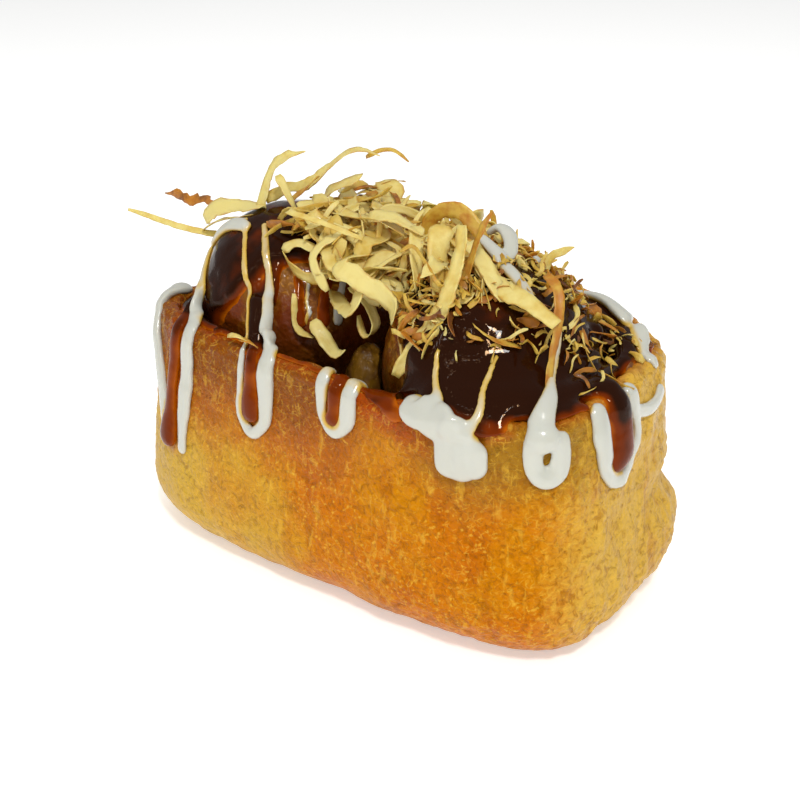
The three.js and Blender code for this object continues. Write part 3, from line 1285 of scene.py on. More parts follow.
@dataclass
class Shaving:
    """One long shaving, as a thin closed strip along given points."""

    points: tuple
    width: float = 2.0
    tone: float = 0.15
    twist: float = 60.0
    roll: float = 0.0
    point_end: float = 0.5
    ragged: float = 0.26

    THICK = 0.11
    ACROSS = 4
    STEP = 0.7
    FACING = (0.35, -0.45, 0.82)
    WOBBLE = 25
    UNEVEN = 0.3
    NARROWEST = 0.15
    CUP = 0.22
    FLUTTER = 0.1

    def add(self, batch: Batch, seed: int) -> None:
        """Put the shaving in its batch.

        Args:
            batch: Where its mesh goes.
            seed: Which ragged edge it gets.
        """
        path = even(spline(np.array(self.points, float), self.STEP), self.STEP, 1)
        count = len(path)
        t = np.linspace(0, 1, count)
        ahead = unit(np.gradient(path, axis=0))
        up = np.zeros_like(path)
        guide = np.array(self.FACING)
        for i in range(count):
            guide = guide - ahead[i] * np.dot(guide, ahead[i])
            guide = guide / max(np.linalg.norm(guide), 1e-6)
            up[i] = guide
        side = np.cross(ahead, up)
        angle = np.radians(self.roll + self.twist * (t - 0.5) + self.WOBBLE * grain(path + seed, 7.0, seed))
        lean_side = side * np.cos(angle)[:, None] + up * np.sin(angle)[:, None]
        lean_up = np.cross(lean_side, ahead)
        taper = np.minimum(1, 0.6 + 6 * t) * np.minimum(1, self.point_end + 4.5 * (1 - t))
        half = self.width / 2 * taper
        half = half * (1 + self.UNEVEN * grain(path, 6.0, seed + 2))
        left, right = (half * np.maximum(1 + self.ragged * grain(path, 1.3, seed + k, 2), self.NARROWEST)
                       for k in (3, 5))
        across = np.linspace(-1, 1, self.ACROSS + 1)
        reach = np.where(across < 0, left[:, None] * across, right[:, None] * across)
        cup = self.CUP * half[:, None] * (across**2) * (0.5 + 0.8 * math.sin(seed))
        flutter = self.FLUTTER * self.width * grain(path, 2.2, seed + 8)[:, None] * across
        spread = path[:, None] + lean_side[:, None] * reach[..., None]
        spread = spread + lean_up[:, None] * (cup + flutter)[..., None]
        shift = lean_up[:, None] * (self.THICK / 2)
        points = np.concatenate([spread + shift, spread - shift], axis=1).reshape(-1, 3)
        batch.add(points, self.strip(count), tone=self.tone + 0.12 * math.sin(seed * 2.3),
                  edge=np.tile(np.abs(np.r_[across, across]), count))

    def strip(self, count: int) -> list[list[int]]:
        """List the faces of the closed strip.

        Args:
            count: How many rows of points it has.

        Returns:
            The faces.
        """
        n = self.ACROSS + 1
        ring = list(range(n)) + list(range(2 * n - 1, n - 1, -1))
        faces = [[r * 2 * n + ring[k], r * 2 * n + ring[(k + 1) % (2 * n)],
                  (r + 1) * 2 * n + ring[(k + 1) % (2 * n)], (r + 1) * 2 * n + ring[k]]
                 for r in range(count - 1) for k in range(2 * n)]
        last = (count - 1) * 2 * n
        for k in range(n - 1):
            faces.append([k + 1, k, n + k, n + k + 1])
            faces.append([last + k, last + k + 1, last + n + k + 1, last + n + k])
        return faces


@dataclass
class ScatterField:
    """Geometry nodes that scatter small curls over a surface."""

    name: str
    shapes: list[bpy.types.Object]
    finish: bpy.types.Material
    per_square_cm: float
    smallest: float
    largest: float
    tilt: float
    lift: float
    seed: int
    tones: tuple[float, float] = (-0.1, 0.6)

    def tree(self) -> tuple[bpy.types.NodeTree, dict[str, str]]:
        """Build the node tree.

        Returns:
            The tree, and the identifier of each named input.
        """
        tree = bpy.data.node_groups.new(self.name, "GeometryNodeTree")
        face = tree.interface
        face.new_socket("Geometry", in_out="INPUT", socket_type="NodeSocketGeometry")
        names = {n: face.new_socket(n, in_out="INPUT", socket_type="NodeSocketFloat").identifier
                 for n in ("Density", "Smallest", "Largest", "Tilt", "Lift")}
        face.new_socket("Geometry", in_out="OUTPUT", socket_type="NodeSocketGeometry")

        def add(kind: str, inputs: dict | None = None, **settings: str) -> bpy.types.Node:
            """Add one node with its inputs and settings."""
            return add_node(tree, kind, settings, inputs or {})

        def draw(kind: str, turn: int, inputs: dict) -> bpy.types.NodeSocket:
            """Draw one random value of a kind for each shape, and take its filled output."""
            made = add("FunctionNodeRandomValue", {**inputs, "Seed": self.seed + turn}, data_type=kind)
            return next(socket for socket in made.outputs if socket.enabled)

        given = add("NodeGroupInput").outputs
        cover = add("GeometryNodeInputNamedAttribute", {"Name": "cover"}, data_type="FLOAT").outputs[0]
        amount = add("ShaderNodeMath", {0: given["Density"], 1: cover}, operation="MULTIPLY").outputs[0]
        spots = add("GeometryNodeDistributePointsOnFaces",
                    {"Mesh": given["Geometry"], "Density": amount, "Seed": self.seed}).outputs
        shapes = add("GeometryNodeJoinGeometry")
        for shape in self.shapes:
            info = add("GeometryNodeObjectInfo", {"Object": shape, "As Instance": True})
            tree.links.new(info.outputs["Geometry"], shapes.inputs[0])
        which = draw("INT", 1, {4: 0, 5: len(self.shapes) - 1})
        scale = draw("FLOAT", 2, {2: given["Smallest"], 3: given["Largest"]})
        placed = add("GeometryNodeInstanceOnPoints", {
            "Points": spots["Points"], "Instance": shapes.outputs[0], "Pick Instance": True,
            "Instance Index": which, "Rotation": spots["Rotation"], "Scale": scale})
        back = add("ShaderNodeMath", {0: given["Tilt"], 1: -1.0}, operation="MULTIPLY").outputs[0]
        least = add("ShaderNodeCombineXYZ", {0: back, 1: back, 2: 0.0}).outputs[0]
        most = add("ShaderNodeCombineXYZ", {0: given["Tilt"], 1: given["Tilt"], 2: 2 * math.pi}).outputs[0]
        spin = draw("FLOAT_VECTOR", 3, {0: least, 1: most})
        turned = add("GeometryNodeRotateInstances", {"Instances": placed.outputs[0], "Rotation": spin})
        tone = draw("FLOAT", 4, {2: self.tones[0], 3: self.tones[1]})
        toned = add("GeometryNodeStoreNamedAttribute",
                    {"Geometry": turned.outputs[0], "Name": "tone", "Value": tone},
                    data_type="FLOAT", domain="INSTANCE")
        rise = add("ShaderNodeCombineXYZ", {"Z": given["Lift"]}).outputs[0]
        raised = add("GeometryNodeTranslateInstances", {"Instances": toned.outputs[0], "Translation": rise})
        real = add("GeometryNodeRealizeInstances", {"Geometry": raised.outputs[0]})
        dressed = add("GeometryNodeSetMaterial", {"Geometry": real.outputs[0], "Material": self.finish})
        add("NodeGroupOutput", {0: dressed.outputs[0]})
        return tree, names

    def over(self, surface: bpy.types.Mesh) -> bpy.types.Mesh:
        """Scatter over a mesh in mm that carries a cover mark.

        Args:
            surface: The mesh, which is used up.

        Returns:
            The scattered shapes as one mesh in mm.
        """
        tree, names = self.tree()
        holder = bpy.data.objects.new("field", surface)
        bpy.context.scene.collection.objects.link(holder)
        modifier = holder.modifiers.new("scatter", "NODES")
        values = {"Density": self.per_square_cm / 100, "Smallest": self.smallest, "Largest": self.largest,
                  "Tilt": self.tilt, "Lift": self.lift}
        modifier.node_group = tree
        for name, value in values.items():
            modifier[names[name]] = value
        graph = bpy.context.evaluated_depsgraph_get()
        result = bpy.data.meshes.new_from_object(holder.evaluated_get(graph), depsgraph=graph)
        bpy.data.objects.remove(holder)
        return result


@dataclass
class Heap:
    """The heap of bonito: a small core, long shavings listed one by one, and small curls over it."""

    shavings: list[Shaving]
    shrink: float = 2.2
    relief: float = 0.8
    sunk_left: float = 5.0
    sunk_right: float = 4.5
    dip: float = 4.0
    slope: float = 0.8
    tangled: int = 84
    ceiling: float = 57.0
    seed: int = 12

    WIDTHS = (0.7, 1.0, 1.3, 1.8, 2.4, 2.9)
    TONES = (0, 0, 0.15, 0.3, 0.45, 0.7)
    WIDE = 1.5
    PALER = 0.4

    def curls(self) -> list[bpy.types.Object]:
        """Make the few small shapes that the scatter repeats.

        Returns:
            Their objects, linked to no scene.
        """
        bends = (
            ((-2.6, 0, 0.1), (-1.0, 0.5, 0.9), (0.9, 0.2, 0.7), (2.4, -0.6, -0.1)),
            ((-1.9, 0.2, 0.0), (-0.9, -0.6, 1.2), (0.6, 0.1, 1.5), (1.0, 0.8, 0.5)),
            ((-1.5, 0, 0.2), (0.0, 0.3, 0.3), (1.6, -0.1, 0.8)),
            ((-3.0, 0.3, 0.4), (-0.8, -0.3, 0.2), (1.2, 0.4, 1.0), (3.1, 0.2, 1.7)),
        )
        out = []
        for seed, (bend, width) in enumerate(zip(bends, (1.0, 0.7, 1.5, 0.6)), 3):
            batch = Batch()
            Shaving(bend, width, 0.0, twist=70).add(batch, seed)
            batch.marks.pop("tone")
            out.append(bpy.data.objects.new(f"curl_{seed}", batch.mesh(f"curl_{seed}")))
        return out

    def tangle(self, core: bpy.types.Mesh) -> list[Shaving]:
        """Lay more long shavings over the core at random.

        Args:
            core: The heap's core in metres.

        Returns:
            The shavings.
        """
        luck = random.Random(self.seed)
        points, normals = get_points(core) / MM, get_normals(core)
        upper = [i for i in range(len(points)) if normals[i][2] > 0.1 and -16 < points[i][0] < 19]
        out = []
        for _ in range(self.tangled):
            spot = luck.choice(upper)
            up = unit(normals[spot] + np.array([0, 0, 0.4]))
            heading = luck.uniform(0, 2 * math.pi)
            ahead = unit(np.cross(up, np.array([math.cos(heading), math.sin(heading), 0.2])))
            side = np.cross(up, ahead)
            length = luck.uniform(7, 17)
            bow, rise, base = luck.uniform(-0.45, 0.45), luck.uniform(0.3, 2.8), luck.uniform(0.0, 0.9)
            lift, hook = luck.uniform(-0.5, 0.35), luck.uniform(-0.25, 0.25)
            knots = [points[spot] + ahead * length * (t - 0.5)
                     + side * length * (bow * math.sin(math.pi * t) + hook * math.sin(2.4 * math.pi * t))
                     + up * (base + rise * math.sin(math.pi * t) + lift * length * 0.25 * (t - 0.5))
                     for t in (0, 0.2, 0.4, 0.6, 0.8, 1)]
            knots = [(x, y, min(z, self.lid(x) + luck.uniform(-0.8, 0.8))) for x, y, z in knots]
            width, tone = luck.choice(self.WIDTHS), luck.choice(self.TONES)
            tone *= 1.0 if width < self.WIDE else self.PALER
            shaving = Shaving(tuple(knots), width, tone, luck.uniform(-130, 130), luck.uniform(-50, 50),
                              luck.uniform(0.1, 1.0))
            if points[spot][0] < 12 or points[spot][1] < 1:
                out.append(shaving)
        return out

    def lid(self, x: float) -> float:
        """Give the height that the tangle stays under, lower in the dip and at the right."""
        return self.ceiling - self.dip * math.exp(-(((x - 3) / 4) ** 2)) - self.slope * max(0.0, x - 11)

    @staticmethod
    def litter(ground: bpy.types.Mesh) -> bpy.types.Mesh:
        """Mark where small shreds stick to the sauce, below the heap.

        Args:
            ground: The sauce's mesh in metres.

        Returns:
            A copy in mm with a cover mark.
        """
        mesh = ground.copy()
        points = get_points(mesh) / MM
        set_points(mesh, points)
        x, y, z = points.T
        patch = ramp(grain(points, 4.5, 90), -0.75, 0.1)
        front = ramp(z, 44, 47.5) * ramp(x, 5, 10) * (1 - 0.55 * ramp(x, 21, 27))
        side = ramp(z, 40, 41.5) * ramp(x, 27, 31) * ramp(y, -9, -4)
        set_mark(mesh, "cover", np.maximum(front, side * 0.3) * patch)
        return mesh

    def build(self, ground: bpy.types.Mesh) -> None:
        """Make the core, the long shavings, the small curls and the shreds.

        Args:
            ground: The sauce that the shreds stick to, in metres.
        """
        finish = BonitoShaving().material()
        core = fine_copy("flake_heap", 2)
        points, normals = get_points(core), get_normals(core)
        amount = -self.shrink + self.relief * grain(points, 2.2, 31, 2)
        points += normals * amount[:, None]
        x = points[:, 0]
        points[:, 2] -= self.sunk_left * ramp(-x, 12, 20) + self.sunk_right * ramp(x, 14, 23)
        set_points(core, points)
        # The core takes a darker amber-brown tone: partly the colour of packed shavings, partly painted
        # shade deep inside the heap.
        set_mark(core, "tone", 0.62 + 0.5 * grain(points, 2.5, 33))
        field_mesh = core.copy()
        cover = ramp(get_normals(core)[:, 2], -0.2, 0.3) * ramp(x, -17, -11) * ramp(-x, -25, -19)
        set_mark(field_mesh, "cover", cover)
        curls = self.curls()
        small = ScatterField("curls", curls, finish, per_square_cm=17.0, smallest=0.6, largest=1.6,
                             tilt=0.7, lift=0.1, seed=7).over(field_mesh)
        shreds = ScatterField("shreds", curls, finish, per_square_cm=115.0, smallest=0.2, largest=1.1,
                              tilt=0.8, lift=0.15, seed=23, tones=(0.1, 1.0)).over(self.litter(ground))
        piece(core, "heap_core", "bonito", finish, ("flake_heap",))
        piece(shreds, "shreds", "bonito", finish)
        piece(small, "small_shavings", "bonito", finish)
        batch = Batch()
        for seed, shaving in enumerate(self.shavings + self.tangle(core), 60):
            shaving.add(batch, seed)
        piece(batch.mesh("long"), "long_shavings", "bonito", finish)
        for curl in curls:
            bpy.data.objects.remove(curl)


# ---------------------------------------------------------------- studio


@dataclass
class Studio:
    """The pale floor, the soft lights and the camera."""

    azimuth: float = 36.46
    elevation: float = 25.41
    distance: float = 202.3
    aim_height: float = 25.87
    focal: float = 55.8
    beads: int = 7
    bead_rows: tuple = ((-0.24, 0.46), (-0.34, 0.40), (-0.44, 0.30))
    bead_span: tuple[float, float] = (-0.22, 0.30)
    bead_size: float = 0.008
    bead_power: float = 0.008
    floor_half: float = 3.0
    sky: float = 0.42
    sensor: float = 36.0

    def light(self, name: str, place: tuple, aim: tuple, size: tuple, power: float,
              mirrored: bool = True) -> None:
        """Hang one soft box.

        Args:
            name: Its name.
            place: Its middle in metres.
            aim: The point it faces.
            size: Its width and height in metres.
            power: Its power in watts.
            mirrored: Whether glossy things show it.
        """
        lamp = bpy.data.lights.new(name, "AREA")
        lamp.shape = "RECTANGLE"
        lamp.size, lamp.size_y = size
        lamp.energy = power
        thing = bpy.data.objects.new(name, lamp)
        thing.location = place
        thing.visible_glossy = mirrored
        thing.rotation_euler = (Vector(aim) - Vector(place)).to_track_quat("-Z", "Y").to_euler()
        bpy.context.scene.collection.objects.link(thing)

    def build(self) -> None:
        """Set up the floor, the lights, the world and the camera."""
        scene = bpy.context.scene
        scene.view_settings.view_transform = "Standard"
        low, high = (np.array(c) for c in CAD_BOX)
        middle = (low + high) / 2
        floor = bpy.data.meshes.new("floor")
        half = self.floor_half
        floor.from_pydata([(-half, -half, 0), (half, -half, 0), (half, half, 0), (-half, half, 0)], [],
                          [(0, 1, 2, 3)])
        floor.materials.append(PlainFloor().material())
        stand = bpy.data.objects.new("floor", floor)
        scene.collection.objects.link(stand)
        aim = tuple(middle)
        self.light("key_lamp", (0.26, -0.26, 0.50), aim, (0.07, 0.07), 1.7)
        self.light("top_box", (-0.10, 0.15, 0.60), aim, (0.6, 0.6), 0.9, mirrored=False)
        self.light("front_fill", (0.02, -0.70, 0.25), aim, (0.9, 0.5), 0.6, mirrored=False)
        first, span = self.bead_span
        for row, (front, top) in enumerate(self.bead_rows):
            for k in range(self.beads):
                place = (first + span * k / (self.beads - 1), front, top)
                self.light(f"bead_{row}_{k}", place, aim, (self.bead_size,) * 2, self.bead_power)
        world = bpy.data.worlds.new("world")
        world.use_nodes = True
        back = world.node_tree.nodes["Background"]
        back.inputs["Color"].default_value = (1, 1, 1, 1)
        back.inputs["Strength"].default_value = self.sky
        scene.world = world
        turn, rise = math.radians(self.azimuth), math.radians(self.elevation)
        away = Vector((math.sin(turn) * math.cos(rise), -math.cos(turn) * math.cos(rise), math.sin(rise)))
        target = Vector((middle[0], middle[1], self.aim_height * MM))
        lens = bpy.data.cameras.new("camera")
        lens.lens = self.focal
        lens.sensor_width = self.sensor
        camera = bpy.data.objects.new("camera", lens)
        camera.location = target + away * self.distance * MM
        camera.rotation_euler = (-away).to_track_quat("-Z", "Y").to_euler()
        scene.collection.objects.link(camera)
        scene.camera = camera


# ---------------------------------------------------------------- the recipe


SAUCE, MAYO = Kind.SAUCE, Kind.MAYO


def pourings(rim: float) -> list[Poured]:
    """List what was poured, from the left end to the right.

    Args:
        rim: Height of the rim in mm.

    Returns:
        The strands and smears of sauce and mayonnaise.
    """
    left_end = [
        Smear(MAYO, ((-38.2, -8, rim + 1.6), (-38.4, -12.5, rim + 0.6), (-37, -16.6, rim - 2.4),
            (-35, -18.4, rim - 6.6), (-33.4, -20.2, rim - 11), (-32.6, -20.9, rim - 15.4),
            (-31.6, -21.8, rim - 20)), (1.6, 1.8, 1.7, 1.5, 1.4, 1.2, 0.9), 0.5),
        Strand(SAUCE, (-31, -7), (-30, -22), 17, 0.8, 1.4, 2.3, flat=0.5),
        Strand(MAYO, (-34.5, -5.5), (-26.2, -22), 17.4, 0.9, 1.5, 1.2, flat=0.5),
    ]
    left_loop = [
        Loop(MAYO, ((-26, -6.5), (-21.5, -7)), ((-14.0, -23), (-8.4, -23)), 25.6,
            (0.6, 0.65, 0.65, 0.75, 1.1, 1.8, 1.3, 0.75, 0.7)),
        Strand(SAUCE, (-24, -7), (-11.7, -23), 27, 1.0, 1.2, 2.3, lean=0.3, flat=0.5),
        Strand(SAUCE, (-18, -6), (-12.3, -15), 38, 1.3, 1.5, 1.3, flat=0.5),
        Smear(MAYO, ((-33.8, -7.8, 48.2), (-31.8, -8, 50.2), (-27.2, -8, 52.6), (-23, -8.4, 52.4)),
            (0.9, 1.3, 1.5, 0.9)),
        Smear(MAYO, ((-11.6, -8, 47.6), (-10.4, -10.4, 44), (-9.3, -12, 40.5)), (0.5, 0.6, 0.7), 0.45),
        Smear(MAYO, ((-7.8, -4, 47.5), (-6.6, -7, 43.5), (-5.9, -8.4, 40)), (0.6, 0.8, 1.0), 0.45),
        Smear(SAUCE, ((-13, -9, 47.6), (-11, -11.5, 44), (-9.6, -12.8, 40)), (0.8, 0.9, 1.0), 0.4),
        Smear(SAUCE, ((-9.5, -5, 48.5), (-8, -9, 44), (-7, -10, 40)), (0.9, 1.0, 1.3), 0.4),
    ]
    short_loop = [
        Loop(MAYO, ((2.2, -19.3), (7.4, -19.3)), ((2.4, -23), (7.3, -23)), 30.4,
            (1.1, 1.1, 0.9, 1.2, 1.6, 1.4, 1.2)),
        Strand(SAUCE, (4.8, -19.3), (4.8, -23), 31.4, 0.9, 1.3, 2.0, flat=0.5),
    ]
    front_blob = [
        Smear(MAYO, ((16.2, -20.6, rim - 1.4), (18.8, -21, rim - 1.4), (22, -21.4, rim - 1.6),
            (25, -21.6, rim - 1.6), (27, -21.8, rim - 3.4)), (1.3, 2.4, 3.0, 3.2, 3.2), 0.5),
        Smear(MAYO, ((24.9, -21.9, rim - 2.4), (24.9, -22, rim - 6), (25.3, -22, rim - 9.4)),
            (2.8, 2.5, 2.5), 0.45),
        Smear(MAYO, ((28, -21.4, rim - 2.6), (28.2, -21.4, rim - 5.4), (28.2, -21.5, rim - 8.8)),
            (2.5, 2.4, 2.4), 0.45),
        Smear(MAYO, ((26.4, -21.8, rim - 1.4), (26.6, -21.8, rim - 5), (26.8, -21.8, rim - 9.6)),
            (3.0, 3.2, 2.6), 0.4),
        Smear(MAYO, ((18.4, -15.3, 45), (19.2, -16.6, 43), (20.2, -18.4, 41.2), (22.3, -20.8, rim + 0.4)),
            (0.45, 0.55, 0.7, 1.1), 0.6),
        Smear(MAYO, ((26.2, -12.8, 45), (26.5, -14.8, 42.8), (27.2, -17.6, 41), (28.4, -20.6, rim + 0.4),
            (27.4, -21.8, rim - 2)), (0.4, 0.55, 0.65, 0.8, 1.3), 0.6),
        Smear(MAYO, ((10.4, -10.5, 47.6), (11.6, -13.6, 44.5), (12.4, -15.6, 41.5)), (0.5, 0.8, 0.7),
            0.5),
    ]
    corner_loop = [
        Smear(MAYO, ((28.4, -0.8, 49.6), (30.3, -4.3, 47.2), (32.2, -7.4, 44.6), (33.6, -10.6, 42.8),
            (34.6, -13, 41), (35.4, -15.6, rim + 0.4), (35.8, -17.4, rim - 1.6)),
            (0.6, 0.7, 0.75, 0.8, 1.0, 1.6, 2.1), 0.6),
        Smear(MAYO, ((35.9, -17.4, rim - 1), (35.6, -18.3, rim - 3.6), (36, -18.2, rim - 6.6),
            (37.3, -17.3, rim - 7.9), (38.3, -16, rim - 6.8), (38.4, -15.6, rim - 4),
            (37.6, -15.8, rim - 1)), (1.7, 1.6, 1.6, 1.6, 1.6, 1.6, 1.7), 0.5),
        Smear(MAYO, ((35.6, -16.4, rim + 0.6), (36.2, -17.2, rim - 1.4), (36.8, -17.3, rim - 4)),
            (1.4, 2.4, 2.6), 0.55),
        Smear(SAUCE, ((34.5, -16.4, rim - 0.6), (37.4, -12.8, rim - 0.4), (39, -8.6, rim - 0.4)),
            (1.2, 1.6, 1.2), 0.6),
    ]
    right_loop = [
        Smear(MAYO, ((39.2, -8.4, rim + 0.8), (40, -8.9, rim - 0.7), (40.4, -9.1, rim - 3.6),
            (40.9, -8.6, rim - 7), (41.3, -7.4, rim - 10), (41.8, -5, rim - 11.8),
            (41.8, -2.4, rim - 11.6), (41.6, -0.6, rim - 9.6), (41.2, 0.4, rim - 6.6),
            (40.8, 0.4, rim - 3.6), (40.4, 0, rim - 0.5), (39.4, -0.4, rim + 0.8)),
            (1.5, 1.7, 1.8, 1.8, 1.7, 1.5, 1.2, 1.0, 1.0, 1.1, 1.5, 1.6), 0.5),
        Strand(SAUCE, (36, -4), (41.5, -4.6), 28, 1.4, 2.5, 3.2, flat=0.45),
        Smear(MAYO, ((41, -0.6, rim - 3), (41.2, 5, rim - 4.6), (40.6, 10, rim - 3)), (1.0, 1.3, 1.1),
            0.5),
        Smear(MAYO, ((17, 19.2, rim + 5.4), (23.6, 18, rim + 5), (29.4, 15, rim + 3.6),
            (33, 12.4, rim + 2), (37.5, 9.6, rim + 1), (40, 9.2, rim - 0.4)),
            (0.9, 1.6, 2.0, 1.9, 1.4, 0.8), 0.5),
        Smear(MAYO, ((14.2, 2, 56), (15.8, 3, 57.4), (18.2, 2.2, 56.8), (19.8, 0, 54.8),
            (18.6, -1.6, 54.2)), (1.0, 1.4, 1.4, 1.3, 0.9), 0.5, 0.6),
        Smear(MAYO, ((14.6, -0.6, 57), (18.7, -1.8, 55.2), (23.4, -4, 53), (27.7, -6, 50.8)),
            (0.9, 1.3, 1.3, 1.0), 0.5, 0.6),
        Smear(MAYO, ((20.4, 3.4, 51.6), (22.6, 3, 52)), (1.4, 1.5), 0.8),
    ]
    pool = [
        Smear(SAUCE, ((13, -17.4, rim - 0.8), (17, -17.9, rim), (22, -17.9, rim + 0.8),
            (29, -16, rim + 1), (34, -10.8, rim + 1), (36.2, -4, rim + 0.6), (35.6, 5, rim + 0.6)),
            (1.2, 2.2, 2.7, 2.7, 2.2, 1.8, 1.4), 0.9, 0.0),
        Smear(SAUCE, ((15, -15.8, rim + 2.4), (19, -16.4, rim + 3), (24, -15.6, rim + 3.4),
            (29.5, -12, rim + 3.4), (33, -6, rim + 3), (34, 2, rim + 3)), (1.0, 1.8, 2.2, 2.2, 1.8, 1.2),
            0.9, 0.0),
        Smear(SAUCE, ((17, -19.8, rim - 0.2), (22, -19.9, rim), (28, -19.2, rim + 0.2),
            (33, -15.6, rim + 0.3), (36.6, -9, rim + 0.3)), (1.0, 1.7, 1.8, 1.6, 1.0), 0.8, 0.0),
        Smear(SAUCE, ((23, -21.4, rim - 0.6), (28, -21.4, rim - 1.2), (33, -19, rim - 0.8)),
            (0.8, 1.6, 0.9), 0.5),
        Smear(SAUCE, ((14, 17.6, rim + 1), (20, 17.2, rim + 2.2), (26, 15.6, rim + 2.6),
            (31.5, 12.6, rim + 1.8), (35.5, 8, rim + 1), (37, 3, rim + 0.2)),
            (1.2, 2.4, 3.0, 3.0, 2.4, 1.4), 0.9, 0.0),
        Smear(SAUCE, ((31, 17.6, rim + 1.6), (35.4, 14.6, rim + 1), (38.4, 10, rim + 0.4)),
            (1.2, 2.0, 1.2), 0.4),
        Smear(SAUCE, ((-36, -7, rim - 1), (-33.5, -14, rim - 0.6), (-27, -18, rim - 0.4),
            (-20, -18.6, rim - 0.6), (-14, -18.8, rim - 0.6)), (0.9, 1.3, 1.2, 1.1, 0.7), 0.8, 0.0),
        Smear(SAUCE, ((-11, -20.6, rim - 0.2), (-3, -20.8, rim - 0.6), (5, -20.8, rim - 0.8),
            (13, -20.6, rim - 1.4)), (0.4, 0.7, 0.6, 0.9), 0.5),
        Smear(SAUCE, ((-21.6, -19.6, rim + 0.4), (-20.4, -19.8, rim + 0.4)), (1.4, 1.2), 0.9),
        Smear(SAUCE, ((9, -20.2, rim - 0.4), (13.4, -21, rim - 1.4), (17, -21.8, rim - 3.4)),
            (1.4, 2.2, 1.4), 0.24),
        Smear(SAUCE, ((31.6, 4.6, 45), (32.2, 7.4, 43.6)), (2.0, 1.8), 0.8),
        Smear(SAUCE, ((35.2, 15.6, rim + 1.4), (36, 15.2, rim + 1.2)), (1.2, 1.2), 0.9),
    ]
    return left_end + left_loop + short_loop + front_blob + corner_loop + right_loop + pool


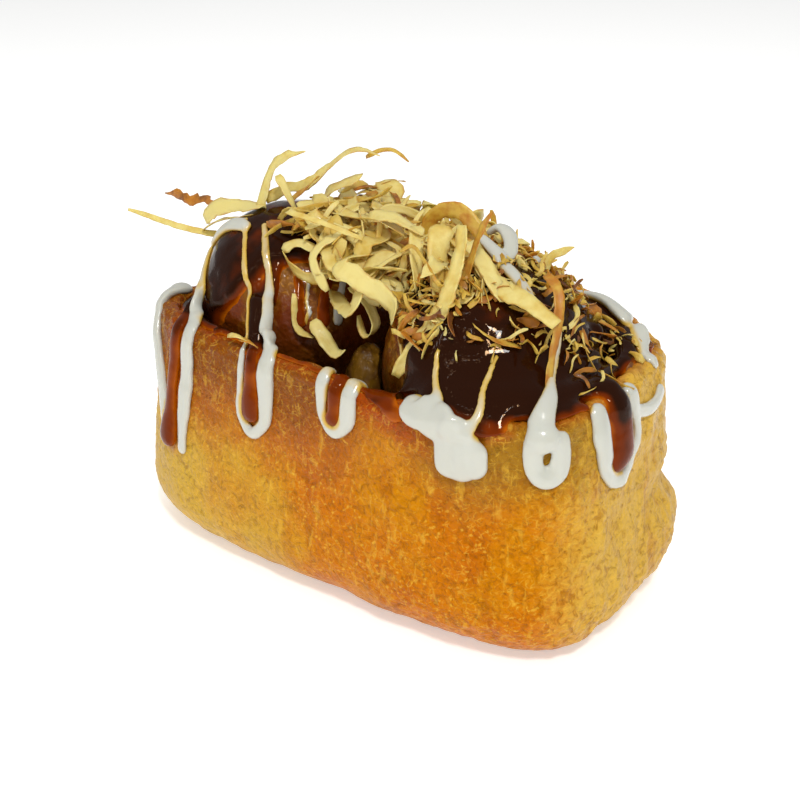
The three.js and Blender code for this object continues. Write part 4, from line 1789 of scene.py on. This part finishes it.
def long_shavings() -> list[Shaving]:
    """List the long shavings that give the heap its outline, in mm."""
    return [
        Shaving(((-32, -3, 48.6), (-36, -3.4, 48), (-43.6, -5, 48.5), (-48.2, -7, 49.9), (-51.3, -9, 51)),
            1.1, 0.2, 50, 25),
        Shaving(((-37.4, -2, 52.2), (-41.2, 0, 52.3), (-44.9, 0, 51.7), (-48.3, 0, 52.1),
            (-51.6, 0, 51.8)), 1.5, 0.72, 110, 30, point_end=0.1, ragged=1.1),
        Shaving(((-38, -4, 50.4), (-35.4, -4, 52.9), (-30.8, -4, 54), (-24.8, -4, 54.9)), 3.2, 0.0, 60,
            20),
        Shaving(((-39, -3, 48.4), (-34, -4.6, 51), (-29, -5, 52.6), (-24, -4.4, 53.6)), 2.2, 0.05, 70,
            30),
        Shaving(((-26.5, -3, 49.5), (-25.7, -3, 54.5), (-23.7, -3, 59.6), (-21.3, -3, 62.8),
            (-16.1, -3, 65)), 1.9, 0.0, 90, 40, point_end=0.2),
        Shaving(((-21.9, -3, 60.4), (-18.7, -4, 57.1), (-17.5, -4, 54.9), (-18.4, -4, 53.6)), 1.3, 0.1,
            80, 30),
        Shaving(((-25.2, -2.6, 55.6), (-22, -0.6, 57.9), (-18.9, 0, 58.5), (-14.7, 0, 61.6),
            (-10.5, 0, 64.9), (-7.2, 0, 66), (-3.8, 0, 65.6)), 1.9, 0.05, 110, 0, point_end=0.1),
        Shaving(((-7.2, 1, 64.7), (-4.5, 1, 66.2), (-1.7, 1, 66.6), (0.9, 1, 65.2)), 1.0, 0.5, 110, 30,
            point_end=0.1),
        Shaving(((-20.4, -2, 56.4), (-17.2, -2, 58.7), (-14.4, -2, 61.2)), 1.4, 0.7, 60, 20, ragged=0.5),
        Shaving(((-15.6, 1, 57.6), (-12.5, 1, 59.4), (-8.5, 1, 61.1)), 2.6, 0.0, 30, 10, point_end=1.0),
        Shaving(((-14.6, 1, 56.2), (-8.5, 1, 57.6), (-4.6, 1, 58.9), (-2.3, 1, 61)), 1.6, 0.45, 90, 20,
            point_end=0.1),
        Shaving(((-15.8, -2, 57.2), (-11.3, -3, 56.8), (-5.6, -4, 56.6), (-0.8, -4, 57), (4.6, -5, 55.8)),
            2.4, 0.1, 80, 20),
        Shaving(((-3.6, -9, 54.8), (-5.4, -10.4, 50.4), (-7.8, -11, 48.3), (-11.8, -11, 48.8),
            (-14.8, -10.4, 51)), 2.0, 0.15, 50, 15),
        Shaving(((-14.8, -10.4, 51.2), (-12.6, -9.6, 52.8), (-8.6, -9, 52)), 1.6, 0.2, 60, 10),
        Shaving(((-11.1, -12.4, 45.6), (-10.6, -13, 42), (-9.6, -13.4, 40.1), (-6.6, -13.4, 39.7)), 1.1,
            0.1, 60, 20),
        Shaving(((-6.9, -13, 42.4), (-3.7, -13.4, 39.1), (-2.1, -13.4, 37.8), (-0.7, -13, 39)), 2.4, 0.05,
            40, 0, point_end=0.1),
        Shaving(((-2, -10, 48), (1.4, -10.4, 46.6), (3.3, -10.6, 43.1), (1.4, -10.8, 41), (0, -10.4, 44)),
            1.5, 0.2, 60, 20),
        Shaving(((12, -17.4, 39.7), (14.6, -16, 44.8), (17.4, -14, 49.4), (17.7, -11.6, 53.4),
            (17.4, -9, 57.4), (16.8, -8, 60.6)), 2.2, 0.05, 50, 5, point_end=0.9),
        Shaving(((16.6, -9, 50.6), (18, -9, 53.1), (18.9, -8, 57.4), (20, -8, 60.5), (21.6, -8, 63.5)),
            1.7, 0.66, 40, 10, point_end=0.05),
        Shaving(((4.7, 0, 54.3), (6, 0, 57.9), (10.1, 0, 59.9), (12.7, 0, 58.6), (15.4, 0, 56.1)), 2.3,
            0.6, 60, 20),
        Shaving(((12, -6, 59.2), (13, -8.6, 57), (14.4, -10.4, 53), (15, -11.4, 50)), 3.2, 0.1, 50, 20),
        Shaving(((17.6, -6, 56.2), (23.2, -8, 53), (28.7, -9, 52), (33.2, -9.4, 50)), 2.7, 0.3, 30, 0,
            point_end=0.9),
        Shaving(((16, -5, 57.2), (20.5, -7.4, 54.8), (24.6, -9.4, 51.4)), 2.4, 0.05, 50, 10),
        Shaving(((28, -4, 54.5), (31.2, -6, 53.7), (32.6, -8, 50.2), (33, -10, 45.3),
            (33.8, -12.4, 41.2)), 1.3, 0.6, 60, 20, point_end=0.6),
        Shaving(((24, 3, 52), (24.5, 3.5, 54.5), (26.4, 4, 55.4), (28, 4, 56.4)), 1.2, 0.3, 120, 20,
            point_end=0.1),
        Shaving(((4, -9, 50.4), (8, -10.4, 48.6), (11.5, -13, 46.8)), 1.4, 0.45, 80, 20),
        Shaving(((-3, -4, 57.4), (2, -4, 58), (8, -5, 56.6)), 2.6, 0.05, 70, 30),
        Shaving(((-5, -6, 55.4), (0, -8, 52.8), (4, -9.4, 49)), 2.4, 0.1, 70, 20),
        Shaving(((-8, -6, 57), (-5, -8.4, 53.9), (-1.5, -9.6, 49.4)), 2.0, 0.3, 80, 20),
        Shaving(((6, -4, 57.4), (9, -8.4, 54), (11, -10.8, 50)), 2.4, 0.1, 60, 20),
        Shaving(((22, -12.4, 48.8), (25.5, -12.6, 47), (29, -11.4, 46.2)), 1.4, 0.6, 70, 20),
        Shaving(((-16, -6, 56.4), (-11, -8.2, 54.4), (-7, -9.4, 51.4)), 1.8, 0.35, 90, 40),
        Shaving(((-17, -21.4, 40.1), (-14.6, -21.8, 40.9), (-12, -21.4, 40)), 0.9, 0.35, 120, 30),
        Shaving(((-14.4, -21.6, 40.3), (-12.4, -21.8, 40.6), (-10.6, -21.6, 39.8)), 0.7, 0.6, 120, 30),
    ]


def main() -> None:
    """Build the studio, the food and its toppings in order."""
    logging.basicConfig(level=logging.INFO, format="%(name)s %(message)s")
    Studio().build()
    pouch = Pouch("pouch", "fried_pouch", "tofu_skin")
    scrap = Scrap("batter_scrap", "scrap", "batter")
    balls = [Ball("ball_left", "ball_left_crust", "ball_crust", seed=11),
             Ball("ball_right", "ball_right_crust", "ball_crust", seed=15)]
    ground_meshes = [pouch.build(), scrap.build()] + [ball.build() for ball in balls]
    rim = round(float(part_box("pouch")[1][2]) / MM - END_LIP, 1)
    ground = Ground(ground_meshes, rim)
    left_edge = ((-170, -8), (-143, -20), (-114, -14), (-98, 8), (-84, 26), (-60, 40), (0, 45), (90, 20),
                 (150, 0))
    right_edge = ((-170, 45), (-140, 40), (-120, 26), (-104, 2), (-60, -12), (-20, -10), (40, 5), (120, 15))
    coats = [Coat(balls[0], 1.05, left_edge, 70), Coat(balls[1], 1.2, right_edge, 80)]
    sauce = Toppings(ground, coats, pourings(rim)).build(pouch.mesh)
    pouch.dress(TofuSkin(rim).material())
    crust = BallCrust(rim - CLEFT_SHADE).material()
    for ball in balls:
        ball.dress(crust)
    scrap.dress(BatterScrap().material())
    Heap(long_shavings()).build(sauce)


if __name__ == "__main__":
    main()
